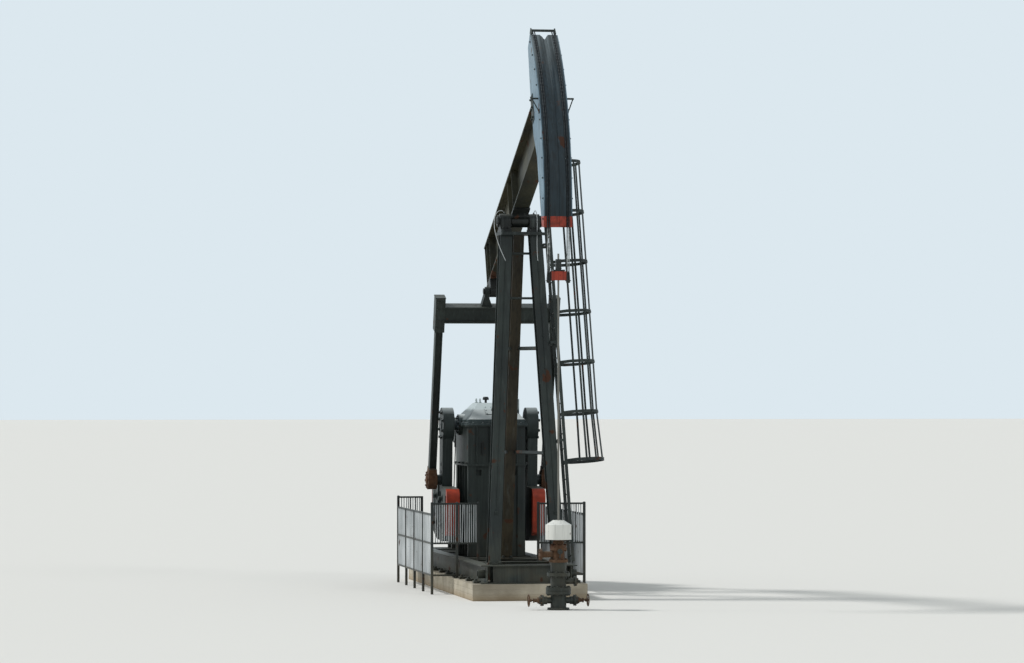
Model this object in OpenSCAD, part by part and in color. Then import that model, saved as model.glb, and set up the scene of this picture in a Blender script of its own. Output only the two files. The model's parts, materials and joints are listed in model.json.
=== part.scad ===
// Crank-balanced beam pumping unit on its concrete base, with the head of its well.
// X runs forward to the well, Z is up, and the ground is at Z = 0 below the saddle bearing.
// The beam stands near the top of its stroke, with the cranks hanging down.

/* [Linkage] */
// Saddle bearing to polished rod
rod_reach = 4572; // [4450:1:4700]
// Saddle bearing to equalizer bearing, along the beam
tail_reach = 3050; // [2950:1:3120]
// Equalizer bearing below the saddle bearing, square to the beam
tail_drop = 150; // [130:1:190]
// Saddle bearing above the ground
bearing_h = 7550; // [7500:1:7650]
// Crankshaft behind the saddle bearing
shaft_back = 3950; // [3900:1:4000]
// Crankshaft above the ground
shaft_h = 3430; // [3380:1:3480]
// Crankshaft to wrist pin
crank_r = 1160; // [1130:1:1200]
// Lean of the cranks back from straight down
crank_lean = 3; // [0:0.5:8]
// Equalizer bearing to wrist pin
pitman_len = 4136; // [4090:1:4180]

/* [Base] */
// Length of the concrete base behind the saddle bearing
base_back = 8000; // [7850:10:8500]
// Length of the concrete base in front of the saddle bearing
base_front = 1350; // [1250:10:1600]
// Width of the concrete base
base_w = 2300; // [2260:10:2400]
// Height of the concrete base
base_h = 330; // [200:10:400]
// Width of the skid over its rails
skid_w = 1930; // [1850:10:2000]
// Height of the skid
skid_h = 370; // [300:10:420]
// Width of a skid rail flange
rail_w = 250; // [180:10:280]

/* [Samson post] */
// Spacing of the front legs at the cap
leg_top_gap = 600; // [570:5:640]
// Spacing of the front legs at the skid
leg_foot_gap = 1300; // [1200:10:1400]
// How far the front feet stand ahead of the saddle bearing
leg_foot_x = 800; // [600:10:900]
// How far the rear foot stands behind the saddle bearing
rear_foot_x = 1700; // [1600:10:1760]
// Flange width of a front leg
leg_w = 245; // [160:5:255]
// Depth of a front leg
leg_d = 270; // [200:5:300]
// Flange width of the rear leg
rear_w = 215; // [190:5:260]
// Width of the cap over the bearings
cap_w = 830; // [800:5:860]
// Thickness of the cap plate
cap_t = 60; // [40:5:80]

/* [Walking beam] */
// Depth of the beam
beam_d = 920; // [800:10:960]
// Flange width of the beam
beam_w = 320; // [260:5:330]
// Thickness of the beam flanges
beam_flange = 34; // [20:1:45]
// Thickness of the beam web
beam_web = 20; // [12:1:30]
// Length of the beam past the equalizer bearing
beam_over = 400; // [360:10:520]
// Saddle bearing to the head end of the beam
beam_nose = 3890; // [3860:10:3920]
// Bottom flange above the saddle bearing
beam_seat = 120; // [110:1:140]
// Diameter of the saddle shaft
saddle_shaft_d = 150; // [100:1:170]

/* [Horsehead] */
// Width of the head over its side plates
head_w = 550; // [500:10:600]
// Angle from the middle of the curved face to each end
head_half = 27; // [26:0.5:29]
// Thickness of the side plates
cheek_t = 16; // [10:1:25]
// Thickness of the curved face plate
face_t = 24; // [15:1:40]
// Width of each raised strip between the wires
strip_w = 120; // [80:5:125]
// Thickness of each raised strip
strip_t = 12; // [6:1:20]
// Depth of the notch in the top of the face
notch_d = 150; // [60:10:260]
// Diameter of a bridle wire
wire_d = 26; // [18:1:32]

/* [Cranks] */
// Middle of each crank from the centre line
crank_y = 905; // [890:1:915]
// Thickness of a crank
crank_t = 210; // [160:5:230]
// Width of the crank arm
crank_w = 460; // [380:10:520]
// Crankshaft to the tip of the crank
crank_tip = 2450; // [2350:10:2480]
// Diameter of the crankshaft
shaft_d = 220; // [160:5:260]
// Thickness of a counterweight
weight_t = 270; // [200:5:280]
// Width over a pair of counterweights
weight_w = 2200; // [2000:20:2900]
// Crankshaft to the near edge of the counterweights
weight_start = 1280; // [1150:10:1380]

/* [Pitmans] */
// Middle of each pitman from the centre line
pitman_y = 1205; // [1190:1:1230]
// Width of a pitman
pitman_w = 150; // [100:5:170]
// Depth of a pitman
pitman_d = 210; // [150:5:260]
// Depth of the equalizer
equalizer_h = 350; // [280:10:400]
// Equalizer bearing to the middle of the equalizer
equalizer_drop = 480; // [440:5:520]
// Outside diameter of a wrist pin bearing
wrist_d = 400; // [330:10:460]

/* [Gearbox] */
// Width of the gearbox at the crankshaft
gearbox_w = 1200; // [1100:10:1260]
// Bottom of the gearbox above the ground
gearbox_z = 2620; // [2550:10:2700]
// Crankshaft to the top of the gearbox cover
gearbox_rise = 460; // [420:10:540]
// Width of the narrow end that holds the input shaft
input_w = 800; // [700:10:820]
// Crankshaft to the front of the gearbox
gearbox_fore = 1080; // [1000:10:1160]
// Crankshaft to the rear of the wide part of the gearbox
gearbox_aft = 650; // [600:10:720]
// Input shaft behind the crankshaft
input_back = 1300; // [1260:10:1360]
// Input shaft to the rear end of the gearbox
input_end = 400; // [340:10:460]
// Diameter of the gearbox sheave
sheave_d = 1050; // [900:10:1100]
// Diameter of the input shaft
input_d = 100; // [70:1:130]

/* [Motor] */
// Motor shaft behind the saddle bearing
motor_back = 7300; // [7150:10:7400]
// Motor shaft above the ground
motor_h = 1400; // [1300:10:1500]
// Diameter of the motor body
motor_d = 460; // [360:10:520]
// Diameter of the motor sheave
motor_sheave_d = 300; // [220:10:360]

/* [Ladder] */
// Height of the ladder top above the ground
ladder_top = 8760; // [8400:10:8900]
// Width between the ladder rails
ladder_w = 420; // [380:5:460]
// Spacing of the rungs
rung_gap = 305; // [280:1:330]
// Ladder outside the middle of the leg
ladder_out = 270; // [250:5:300]
// Reach of the safety cage from the ladder
cage_reach = 750; // [650:10:800]
// Width of the safety cage
cage_w = 720; // [640:10:760]
// Spacing of the cage hoops
hoop_gap = 1010; // [900:10:1050]

/* [Guard] */
// Width over the guard around the cranks
guard_w = 3200; // [3120:10:3400]
// Front of the guard, behind the saddle bearing
guard_front = 1340; // [1300:10:1380]
// Length of the guard
guard_len = 5220; // [5160:10:5400]
// Top rail of the front and rear guard panels above the ground
guard_top = 1860; // [1750:10:2000]
// Top rail of the side guards above the ground
guard_side_top = 1640; // [1500:10:1720]
// Middle rail of the guard above the ground
guard_mid = 1020; // [900:10:1200]
// Low rail of the guard above the ground
guard_low = 370; // [300:10:500]
// Width of a guard post
post_w = 50; // [40:1:70]
// Spacing of the upright guard bars
bar_gap = 130; // [110:1:150]
// Width of an upright guard bar
bar_w = 12; // [8:1:16]

/* [Wellhead] */
// Diameter of the polished rod
rod_d = 38; // [30:1:45]
// Carrier bar above the ground
carrier_z = 6330; // [6200:10:6450]
// Width of the carrier bar
carrier_w = 400; // [380:5:440]
// Diameter of the white pot on the stuffing box
pot_d = 490; // [400:10:550]
// Bottom of the white pot above the ground
pot_z = 1330; // [1250:10:1400]
// Top of the white pot above the ground
pot_top = 1700; // [1620:10:1750]

/* [Hidden] */
$fn = 48;

// Saddle bearing to the tail end of the beam
beam_tail = tail_reach + beam_over;

// Gap of a seated face or a turning fit, and the least gap between moving pieces
fit = 0.3;
clear = 5;

// The linkage: the beam's tilt closes the loop from the wrist pin over the pitman
wrist_pin = [-shaft_back - crank_r * sin(crank_lean), shaft_h - crank_r * cos(crank_lean)];
base_angle = atan2(bearing_h - wrist_pin[1], -wrist_pin[0]);
wrist_dist = norm([wrist_pin[0], bearing_h - wrist_pin[1]]);
tail_r = norm([tail_reach, tail_drop]);
link_cos = (pow(tail_r, 2) + pow(wrist_dist, 2) - pow(pitman_len, 2)) / (2 * tail_r * wrist_dist);
tilt = base_angle - atan2(tail_drop, tail_reach) - acos(link_cos);
function from_beam(x, z) = [x * cos(tilt) - z * sin(tilt), bearing_h + x * sin(tilt) + z * cos(tilt)];
tail_pin = from_beam(-tail_reach, -tail_drop);
pitman_lean = atan2(tail_pin[0] - wrist_pin[0], tail_pin[1] - wrist_pin[1]);

// Heights and faces that several pieces share
skid_top = base_h + skid_h;
cap_top = bearing_h - 220;
cap_bottom = cap_top - cap_t;
foot_t = 30;
beam_top = beam_seat + beam_d;
wire_r = rod_reach - clear;
face_r = wire_r - wire_d / 2 - fit;
wire_gap = 36;
wire_y = 188;
wire_ys = [-wire_y - wire_gap / 2, -wire_y + wire_gap / 2, wire_y - wire_gap / 2, wire_y + wire_gap / 2];
hanger_angle = head_half + 1.6;
hanger_d = 50;
crank_in = crank_y - crank_t / 2;
crank_out = crank_y + crank_t / 2;
wrist_in = pitman_y - 95;
wrist_out = pitman_y + 95;
crank_hub_d = 720;
input_x = -shaft_back - input_back;
input_z = shaft_h - 130;
sheave_y = -530;
sheave_w = 170;
skid_rail_y = (skid_w - rail_w) / 2;
motor_base_top = motor_h - motor_d / 2;

// A block between low and high values along each axis
module block(x, y, z) {
    translate([x[0], y[0], z[0]]) cube([x[1] - x[0], y[1] - y[0], z[1] - z[0]]);
}

// The same shape on the left and the right
module both_sides() {
    children();
    mirror([0, 1, 0]) children();
}

// A round bar along Y between two places
module pin_y(d, y) {
    translate([0, y[1], 0]) rotate([90, 0, 0]) cylinder(d = d, h = y[1] - y[0]);
}

// A flat outline in X and Z, extruded along Y between two places
module plate_y(y) {
    translate([0, y[1], 0]) rotate([90, 0, 0]) linear_extrude(y[1] - y[0]) children();
}

// A section of a rolled beam, its depth upright
module i_section(depth, width, web, flange) {
    square([web, depth], center = true);
    for (side = [-1, 1]) translate([0, side * (depth - flange) / 2]) square([width, flange], center = true);
}

// A section swept straight from p to q and kept square to the axes
module along(p, q) {
    v = q - p;
    turn = atan2(v[1], v[0]);
    translate(p) rotate([0, acos(v[2] / norm(v)), turn]) rotate([0, 0, -turn])
        linear_extrude(norm(v)) children();
}

// The frames of the pieces that lean with the linkage
module on_beam() { translate([0, 0, bearing_h]) rotate([0, -tilt, 0]) children(); }
module on_crank() { translate([-shaft_back, 0, shaft_h]) rotate([0, crank_lean, 0]) children(); }
module on_pitman() { translate([tail_pin[0], 0, tail_pin[1]]) rotate([0, pitman_lean, 0]) children(); }

// The belt drive stands on the ladder's side of the gearbox
module drive_side() { mirror([0, 1, 0]) children(); }

// Base

module foundation() {
    color("silver") block([-base_back, base_front], [-base_w / 2, base_w / 2], [0, base_h]);
}

skid_ends = [-base_back + 100, base_front - 100];
cross_xs = [skid_ends[0] + 90, -motor_back - 150, -motor_back + 300, -shaft_back - 2200, -shaft_back - 1450,
    -shaft_back - 500, -shaft_back + 850, -shaft_back + 1550, -rear_foot_x, -500, leg_foot_x,
        skid_ends[1] - 90];
cross_w = 180;
rail_web = 16;
rail_flange = 24;

module skid_rails() {
    color("darkslategray") both_sides() translate([skid_ends[0], skid_rail_y,
        base_h + skid_h / 2]) rotate([90, 0, 90])
        linear_extrude(skid_ends[1] - skid_ends[0]) i_section(skid_h, rail_w, rail_web, rail_flange);
}

module skid_cross_members() {
    reach = skid_rail_y - rail_w / 2 - fit;
    color("darkslategray") for (x = cross_xs) translate([x, reach, base_h + skid_h / 2]) rotate([90, 0, 0])
        linear_extrude(2 * reach) i_section(skid_h, cross_w, rail_web, rail_flange);
}

// Samson post

leg_web = 16;
leg_foot = [leg_foot_x, leg_foot_gap / 2, skid_top + foot_t];
leg_head = [120, leg_top_gap / 2, cap_bottom];
leg_run = (leg_head - leg_foot) / (leg_head[2] - leg_foot[2]);
function leg_at(z) = leg_foot + leg_run * (z - leg_foot[2]);

module leg_between(foot, head, depth, width) {
    lean = (head - foot) / (head[2] - foot[2]);
    intersection() {
        along(foot - lean * 200, head + lean * 200) rotate(90) i_section(depth, width, leg_web, 24);
        block([foot[0] - 2500, foot[0] + 2500], [-1500, 1500], [foot[2] - 1, head[2]]);
    }
    block([foot[0] - depth * 0.75, foot[0] + depth * 0.75], [foot[1] - width / 2 - 20,
        foot[1] + width / 2 + 20],
        [foot[2] - foot_t, foot[2]]);
}

module front_leg_right() { color("darkslategray") leg_between(leg_foot, leg_head, leg_d, leg_w); }
module front_leg_left() { mirror([0, 1, 0]) front_leg_right(); }

module rear_leg() {
    color("darkslategray") leg_between(rear_foot, rear_head, rear_d, rear_w);
}

module samson_cap() {
    color("darkslategray") {
        block([-340, 340], [-cap_w / 2, cap_w / 2], [cap_bottom, cap_top]);
    }
}

bearing_y = [beam_w / 2 + 30, cap_w / 2 - 15];

module center_bearings() {
    color("dimgray") both_sides() difference() {
        union() {
            block([-230, 230], bearing_y, [cap_top, cap_top + 55]);
            translate([0, 0, bearing_h]) pin_y(saddle_shaft_d + 150, bearing_y);
            block([-150, 150], bearing_y, [cap_top, bearing_h]);
        }
        translate([0, 0, bearing_h]) pin_y(saddle_shaft_d + 2 * fit, [0, cap_w]);
    }
}

brace_zs = [2900, 5000];
tie_d = 48;

rear_foot = [-rear_foot_x, 0, skid_top + foot_t];
rear_head = [-150, 0, cap_bottom];
rear_d = 260;
function rear_at(z) = rear_foot + (rear_head - rear_foot) * (z - rear_foot[2]) / (rear_head[2] -
    rear_foot[2]);

// The room that a leg takes, as a straight bar of that width and depth
module leg_room(foot, head, depth, width) {
    along(foot, head) rotate(90) square([width + 2 * fit, depth + 2 * fit], center = true);
}

module leg_braces() {
    color("darkslategray") {
        // Tie rods between the webs of the front legs
        difference() {
            for (z = [6000, 6900]) translate([leg_at(z)[0], 0, z]) pin_y(tie_d, [-leg_at(z)[1],
                leg_at(z)[1]]);
            both_sides() leg_room(leg_foot, leg_head, leg_d, leg_web);
        }
        // Struts from the front legs back to the rear leg
        difference() {
            for (z = brace_zs, side = [-1, 1]) along([rear_at(z)[0], side * 60, z],
                [leg_at(z)[0], side * (leg_at(z)[1] - 30), z]) square([60, 60], center = true);
            both_sides() leg_room(leg_foot, leg_head, leg_d, leg_w);
            leg_room(rear_foot, rear_head, rear_d, rear_w);
        }
    }
}

// Gearbox and its pedestal

hood_slope = 300;
split_edge = 45;
wide_end = -shaft_back - gearbox_aft;
narrow_end = input_x - input_end;
gearbox_front = -shaft_back + gearbox_fore;

module gearbox_pedestal() {
    color("darkslategray") {
        // Columns, with the recessed front panel and side panels between them
        for (x = [wide_end + 80, gearbox_front - 80]) both_sides()
            block([x - 80, x + 80], [gearbox_w / 2 - 160, gearbox_w / 2], [skid_top, gearbox_z - 40]);
        difference() {
            block([wide_end + 100, gearbox_front - 50], [-gearbox_w / 2 + 60, gearbox_w / 2 - 60],
                [skid_top, gearbox_z - 40]);
            // Access holes up the middle of the front panel
            for (i = [0 : 3], y = i == 0 ? [-370, 0, 370] : [0]) block([gearbox_front - 120, gearbox_front],
                [y - 55, y + 55], [gearbox_z - 240 - i * 370, gearbox_z - 120 - i * 370]);
        }
        block([narrow_end + 60, wide_end + 100], [-input_w / 2 + 60, input_w / 2 - 60], [skid_top,
            gearbox_z - 40]);
        // Top plate, narrow where the belt runs past
        block([wide_end, gearbox_front + 30], [-gearbox_w / 2 - 20, gearbox_w / 2 + 20],
            [gearbox_z - 40, gearbox_z]);
        block([narrow_end - 20, wide_end], [-input_w / 2, input_w / 2], [gearbox_z - 40, gearbox_z]);
    }
}

module gearbox_bores() {
    translate([-shaft_back, 0, shaft_h]) pin_y(shaft_d + 2 * fit, [-gearbox_w, gearbox_w]);
    translate([input_x, 0, input_z]) pin_y(input_d + 2 * fit, [-gearbox_w, gearbox_w]);
}

module gearbox_housing() {
    color("darkslategray") difference() {
        union() {
            block([wide_end, gearbox_front], [-gearbox_w / 2, gearbox_w / 2], [gearbox_z, shaft_h - 25]);
            block([narrow_end, wide_end + 10], [-input_w / 2, input_w / 2], [gearbox_z, shaft_h]);
            block([narrow_end, wide_end - fit], [-input_w / 2, input_w / 2], [gearbox_z, input_z + 180]);
            block([wide_end, gearbox_front + split_edge], [-gearbox_w / 2 - split_edge,
                gearbox_w / 2 + split_edge],
                [shaft_h - 30, shaft_h]);
            translate([-shaft_back, 0, shaft_h]) intersection() {
                pin_y(shaft_d + 220, [-gearbox_w / 2 - 60, gearbox_w / 2 + 60]);
                block([-500, 500], [-gearbox_w, gearbox_w], [-400, 0]);
            }
        }
        gearbox_bores();
    }
}

module gearbox_cover() {
    top = shaft_h + gearbox_rise;
    half = gearbox_w / 2;
    color("slategray") {
        difference() {
            union() {
                block([wide_end, gearbox_front + split_edge], [-half - split_edge, half + split_edge],
                    [shaft_h, shaft_h + 30]);
                // The hood, sloped at both ends and along both sides
                intersection() {
                    plate_y([-half, half]) polygon([[wide_end, shaft_h + 20], [gearbox_front, shaft_h + 20],
                        [gearbox_front, shaft_h + 120], [-shaft_back + 420, top], [-shaft_back - 250, top],
                        [wide_end, shaft_h + 200]]);
                    translate([wide_end, 0, 0]) rotate([90, 0, 90]) linear_extrude(gearbox_front - wide_end)
                        polygon([[-half, shaft_h], [half, shaft_h], [half, shaft_h + 110],
                            [half - hood_slope, top],
                            [-half + hood_slope, top], [-half, shaft_h + 110]]);
                }
                // Round bosses over the crankshaft bearings
                translate([-shaft_back, 0, shaft_h]) intersection() {
                    pin_y(shaft_d + 220, [-half - 60, half + 60]);
                    block([-500, 500], [-half - 70, half + 70], [0, 400]);
                }
            }
            gearbox_bores();
        }
        // Filler box on the side slope of the hood
        block([-shaft_back - 260, -shaft_back + 60], [half - 260, half + 40], [shaft_h + 160, top + 80]);
    }
}

module gearbox_sheave() {
    color("dimgray") drive_side() translate([input_x, 0, input_z]) difference() {
        union() {
            pin_y(sheave_d, [sheave_y - sheave_w / 2, sheave_y + sheave_w / 2]);
            pin_y(input_d + 110, [sheave_y - sheave_w / 2 - 10, sheave_y + sheave_w / 2 + 10]);
        }
        pin_y(input_d + 2 * fit, [-1000, 0]);
    }
}

module brake_drum() {
    color("dimgray") drive_side() translate([input_x, 0, input_z]) {
        pin_y(input_d, [sheave_y - sheave_w / 2 - 25, input_w / 2 + 180]);
        pin_y(520, [input_w / 2 + 30, input_w / 2 + 160]);
    }
}

// Motor and belt drive

motor_y = [-400, 320];

module motor() {
    color("slategray") drive_side() translate([-motor_back, 0, motor_h]) {
        pin_y(motor_d, motor_y);
        pin_y(80, [sheave_y - sheave_w / 2 - 10, motor_y[0] + 1]);
        block([-170, 170], [-330, 250], [-motor_d / 2, -motor_d / 2 + 60]);
    }
}

module motor_base() {
    color("darkslategray") drive_side() {
        block([-motor_back - 380, -motor_back + 380], [-440, 340], [motor_base_top - 60, motor_base_top]);
        for (x = [-300, 220]) block([-motor_back + x, -motor_back + x + 80], [-440, 340], [skid_top,
            motor_base_top - 50]);
    }
}

module motor_sheave() {
    color("dimgray") drive_side() translate([-motor_back, 0, motor_h]) difference() {
        pin_y(motor_sheave_d, [sheave_y - sheave_w / 2, sheave_y + sheave_w / 2]);
        pin_y(80 + 2 * fit, [-1000, 0]);
    }
}

drive_run = [-motor_back - input_x, motor_h - input_z];

// The outline of a loop round both sheaves, grown by a margin; its flats lie outside the true arcs
function loop_points(grow) =
    let (
        r1 = sheave_d / 2 + grow,
        r2 = motor_sheave_d / 2 + grow,
        turn = atan2(drive_run[1], drive_run[0]),
        open = acos((r1 - r2) / norm(drive_run)),
        steps = 24
    ) [
        for (i = [0 : steps]) let (a = turn + open + (360 - 2 * open) * i / steps)
            r1 / cos((180 - open) / steps) * [cos(a), sin(a)],
        for (i = [0 : steps]) let (a = turn - open + 2 * open * i / steps)
            drive_run + r2 / cos(open / steps) * [cos(a), sin(a)]
    ];

module drive_belt() {
    color("black") drive_side() translate([input_x, 0, input_z])
        plate_y([sheave_y - sheave_w / 2 + 8, sheave_y + sheave_w / 2 - 8]) difference() {
            polygon(loop_points(18));
            polygon(loop_points(fit));
        }
}

guard_y = [-input_w / 2 - 285, -input_w / 2 - 15];

module belt_guard() {
    color("darkslategray") drive_side() translate([input_x, 0, input_z]) {
        plate_y(guard_y) difference() {
            polygon(loop_points(60));
            polygon(loop_points(55));
        }
        plate_y([guard_y[0], guard_y[0] + 5]) polygon(loop_points(57));
        // Lugs that hold the guard on the gearbox and on the motor base
        for (a = [-90, -45]) rotate([0, -a, 0])
            block([sheave_d / 2 + 20, sheave_d / 2 + 58], [guard_y[1] - 40, -input_w / 2], [-30, 30]);
    }
}

// Ladder and cage

leg_turn = atan2(leg_run[1], leg_run[0]);
leg_lean = acos(1 / norm(leg_run));
ladder_start = leg_at(skid_top);
ladder_len = (ladder_top - skid_top) * norm(leg_run);
leg_len = (cap_bottom - skid_top) * norm(leg_run);

module on_ladder() {
    translate(ladder_start) rotate([0, leg_lean, leg_turn]) rotate([0, 0, -leg_turn]) children();
}

module ladder() {
    rail_t = 12;
    color("darkslategray") on_ladder() {
        for (side = [-1, 1]) block([side * ladder_w / 2 - rail_t / 2, side * ladder_w / 2 + rail_t / 2],
            [ladder_out - 32, ladder_out + 32], [20, ladder_len]);
        for (z = [150 : rung_gap : ladder_len - 100]) translate([-ladder_w / 2, ladder_out, z])
            rotate([0, 90, 0]) cylinder(d = 22, h = ladder_w, $fn = 16);
        // Stand-offs to the flange edges of the leg
        for (i = [0 : 3]) let (z = 450 + i * (leg_len - 700) / 3) {
            for (side = [-1, 1]) block([side * ladder_w / 2 - rail_t / 2, side * ladder_w / 2 + rail_t / 2],
                [leg_w / 2 + fit, ladder_out], [z, z + 50]);
            block([-ladder_w / 2, ladder_w / 2], [leg_w / 2 + fit, leg_w / 2 + 12], [z, z + 50]);
        }
    }
    // Two bars to the edge of the cap, where the ladder runs on past the leg
    rail_x = leg_at(cap_top)[0];
    for (side = [-1, 1]) color("darkslategray") block([rail_x + side * ladder_w / 2 - 22,
        rail_x + side * ladder_w / 2 + 10],
        [cap_w / 2 + fit, leg_at(cap_top)[1] + ladder_out], [cap_top - 52, cap_top - 8]);
}

hoop_t = 10;
hoop_h = 60;
hoop_r = cage_w / 2;
hoop_step = 15;
hoop_c = ladder_out + cage_reach - hoop_r;
strap_t = 10;
bottom_flare = 1.14;
hoop_zs = [for (i = [0 : 6]) ladder_len - 40 - hoop_gap * (i == 6 ? 5.95 : i)];

// Points of a hoop's outline, grown outward from its centre line; its flats lie outside the true arc
function hoop_points(grow, flare) =
    let (r = hoop_r * flare + grow) [
        [-ladder_w / 2 - grow, ladder_out + 32 + fit],
        [-r, ladder_out + 200],
        for (a = [180 - hoop_step / 2 : -hoop_step : 0]) [0,
            hoop_c] + r / cos(hoop_step / 2) * [cos(a), sin(a)],
        [r, ladder_out + 200],
        [ladder_w / 2 + grow, ladder_out + 32 + fit]
    ];

module cage_hoops() {
    color("darkslategray") on_ladder()
        for (i = [0 : 6]) let (flare = i == 6 ? bottom_flare : 1) translate([0, 0, hoop_zs[i] - hoop_h])
            linear_extrude(hoop_h) difference() {
                polygon(hoop_points(hoop_t / 2, flare));
                translate([0, -0.01]) polygon(hoop_points(-hoop_t / 2, flare));
            }
}

// Upright straps inside the hoops, splayed to the wider hoop at the bottom
module cage_straps() {
    face = hoop_r - hoop_t / 2 - fit;
    low_face = hoop_r * bottom_flare - hoop_t / 2 - fit;
    low = hoop_zs[6] - hoop_h;
    bend = hoop_zs[5] - hoop_h - 20;
    color("darkslategray") on_ladder() for (a = [0 : 30 : 180]) translate([0, hoop_c, 0]) rotate([90, 0, a])
        linear_extrude(40, center = true) polygon([[low_face, low], [face, bend], [face, hoop_zs[0]],
            [face - strap_t, hoop_zs[0]], [face - strap_t, bend], [low_face - strap_t, low]]);
}

// Guard round the cranks

guard_back = guard_front + guard_len;
rail_t = 36;

// Rails and upright bars of one run, along X from 0 to its length
module guard_run(length, low, top) {
    for (z = [guard_mid, top - rail_t]) block([0, length], [-rail_t / 2, rail_t / 2], [z, z + rail_t]);
    for (x = [bar_gap : bar_gap : length - bar_gap / 2])
        block([x - bar_w / 2, x + bar_w / 2], [-bar_w / 2, bar_w / 2], [low + 10, top - 10]);
}

// A side guard, lower than its corner posts and barred down to its low rail
module guard_right() {
    bays = 4;
    color("darkseagreen") translate([-guard_back, guard_w / 2 - post_w / 2, 0]) {
        guard_run(guard_len, guard_low, guard_side_top);
        block([0, guard_len], [-rail_t / 2, rail_t / 2], [guard_low, guard_low + rail_t]);
        for (i = [0 : bays]) let (x = i * (guard_len - post_w) / bays)
            block([x, x + post_w], [-post_w / 2, post_w / 2], [0,
                i == 0 || i == bays ? guard_top : guard_side_top]);
    }
}

module guard_left() { mirror([0, 1, 0]) guard_right(); }

guard_post_y = base_w / 2 - 90;
guard_gate_y = 620;
guard_inside = guard_w / 2 - post_w;

// A post on the base, with its foot
module guard_post() {
    block([-post_w / 2, post_w / 2], [-post_w / 2, post_w / 2], [base_h, guard_top]);
    block([-70, 70], [-70, 70], [base_h, base_h + 12]);
}

// A panel from its innermost post out to the corner post, with a low rail over the last bay
module guard_end(inner) {
    translate([0, inner, 0]) rotate([0, 0, 90]) guard_run(guard_inside - inner - fit, guard_mid, guard_top);
    block([-rail_t / 2, rail_t / 2], [guard_post_y, guard_inside - fit], [guard_low, guard_low + rail_t]);
    translate([0, guard_post_y, 0]) guard_post();
}

// The front panels stop short of the rear leg on either side
module guard_front() {
    color("darkseagreen") translate([-guard_front - post_w / 2, 0, 0]) both_sides() {
        guard_end(guard_gate_y);
        translate([0, guard_gate_y, 0]) guard_post();
    }
}

// The rear panels stop short of the belt drive on either side
module guard_rear_panels() {
    color("darkseagreen") translate([-guard_back + post_w / 2, 0, 0]) both_sides() guard_end(guard_post_y);
}

// Well head

tee_z = 900;
box_z = 1180;

module on_well() { translate([rod_reach, 0, 0]) children(); }

// Turned pieces in a column: [diameter, bottom, top] of each
module stack(rings) {
    for (r = rings) translate([0, 0, r[1]]) cylinder(d = r[0], h = r[2] - r[1]);
}

module casing_head() {
    color("darkolivegreen") on_well() difference() {
        union() {
            stack([[420, 0, 40], [300, 30, 700], [480, 300, 360], [480, 365, 425], [430, 640, 700],
                [300, 700, tee_z]]);
            for (side = [-1, 1]) {
                translate([0, 0, 180]) rotate([side * 90, 0, 0]) cylinder(d = 120, h = 330);
                translate([0, side * 330, 180]) rotate([side * 90, 0, 0]) cylinder(d = 210, h = 40);
                translate([0, side * 370, 180]) rotate([side * 90, 0, 0]) cylinder(d = 150, h = 150);
            }
            translate([0, 0, 540]) rotate([0, 90, 90]) cylinder(d = 110, h = 300);
            translate([0, 300, 540]) rotate([0, 90, 90]) cylinder(d = 190, h = 40);
        }
        translate([0, 0, -1]) cylinder(d = rod_d + 40, h = tee_z + 2);
    }
}

module flow_tee() {
    color("saddlebrown") on_well() difference() {
        union() {
            stack([[360, tee_z, tee_z + 50], [230, tee_z + 40, box_z], [320, box_z - 50, box_z]]);
            translate([0, 0, tee_z + 150]) rotate([0, -90, 90]) cylinder(d = 120, h = 320);
            translate([0, -320, tee_z + 150]) rotate([0, -90, 90]) cylinder(d = 220, h = 45);
        }
        translate([0, 0, tee_z - 1]) cylinder(d = rod_d + 40, h = box_z - tee_z + 2);
    }
}

module stuffing_box() {
    color("saddlebrown") on_well() difference() {
        stack([[300, box_z, box_z + 45], [180, box_z + 40, pot_z]]);
        translate([0, 0, box_z - 1]) cylinder(d = rod_d + 2 * fit, h = pot_z - box_z + 2);
    }
}

module oil_pot() {
    rise = 90;
    color("white") on_well() difference() {
        union() {
            translate([0, 0, pot_z]) cylinder(d = pot_d, h = pot_top - pot_z - rise);
            translate([0, 0, pot_top - rise]) cylinder(d1 = pot_d, d2 = pot_d * 0.4, h = rise, $fn = 48);
        }
        translate([0, 0, pot_z - 1]) cylinder(d = rod_d + 4, h = pot_top - pot_z + 2);
    }
}

// Beam and head

module walking_beam() {
    color("darkslategray") on_beam() {
        translate([-beam_tail, 0, beam_seat + beam_d / 2]) rotate([90, 0, 90])
            linear_extrude(beam_tail + beam_nose) i_section(beam_d, beam_w, beam_web, beam_flange);
        // Web stiffeners over the bearings and at the head
        for (x = [-beam_tail + 10, -tail_reach + 180, -tail_reach - 180, -260, 260, beam_nose - 260])
            block([x - 8, x + 8], [-beam_w / 2 + 12, beam_w / 2 - 12], [beam_seat + 10, beam_top - 10]);
    }
}

module saddle() {
    color("dimgray") on_beam() {
        pin_y(saddle_shaft_d, [-cap_w / 2, cap_w / 2]);
        pin_y(saddle_shaft_d + 90, [-beam_w / 2 - 10, beam_w / 2 + 10]);
        block([-200, 200], [-beam_w / 2 - 10, beam_w / 2 + 10], [0, beam_seat - 35]);
        block([-400, 400], [-beam_w / 2 - 10, beam_w / 2 + 10], [beam_seat - 40, beam_seat]);
    }
}

cross_bar_angle = 6;
cross_bar_d = 36;
cross_bar_out = 140;

module on_cross_bar() { rotate([0, -cross_bar_angle, 0]) translate([face_r - 70, 0, 0]) children(); }

head_back = beam_nose - 200;
head_end_x = 3780;
head_low_x = 3860;

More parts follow.
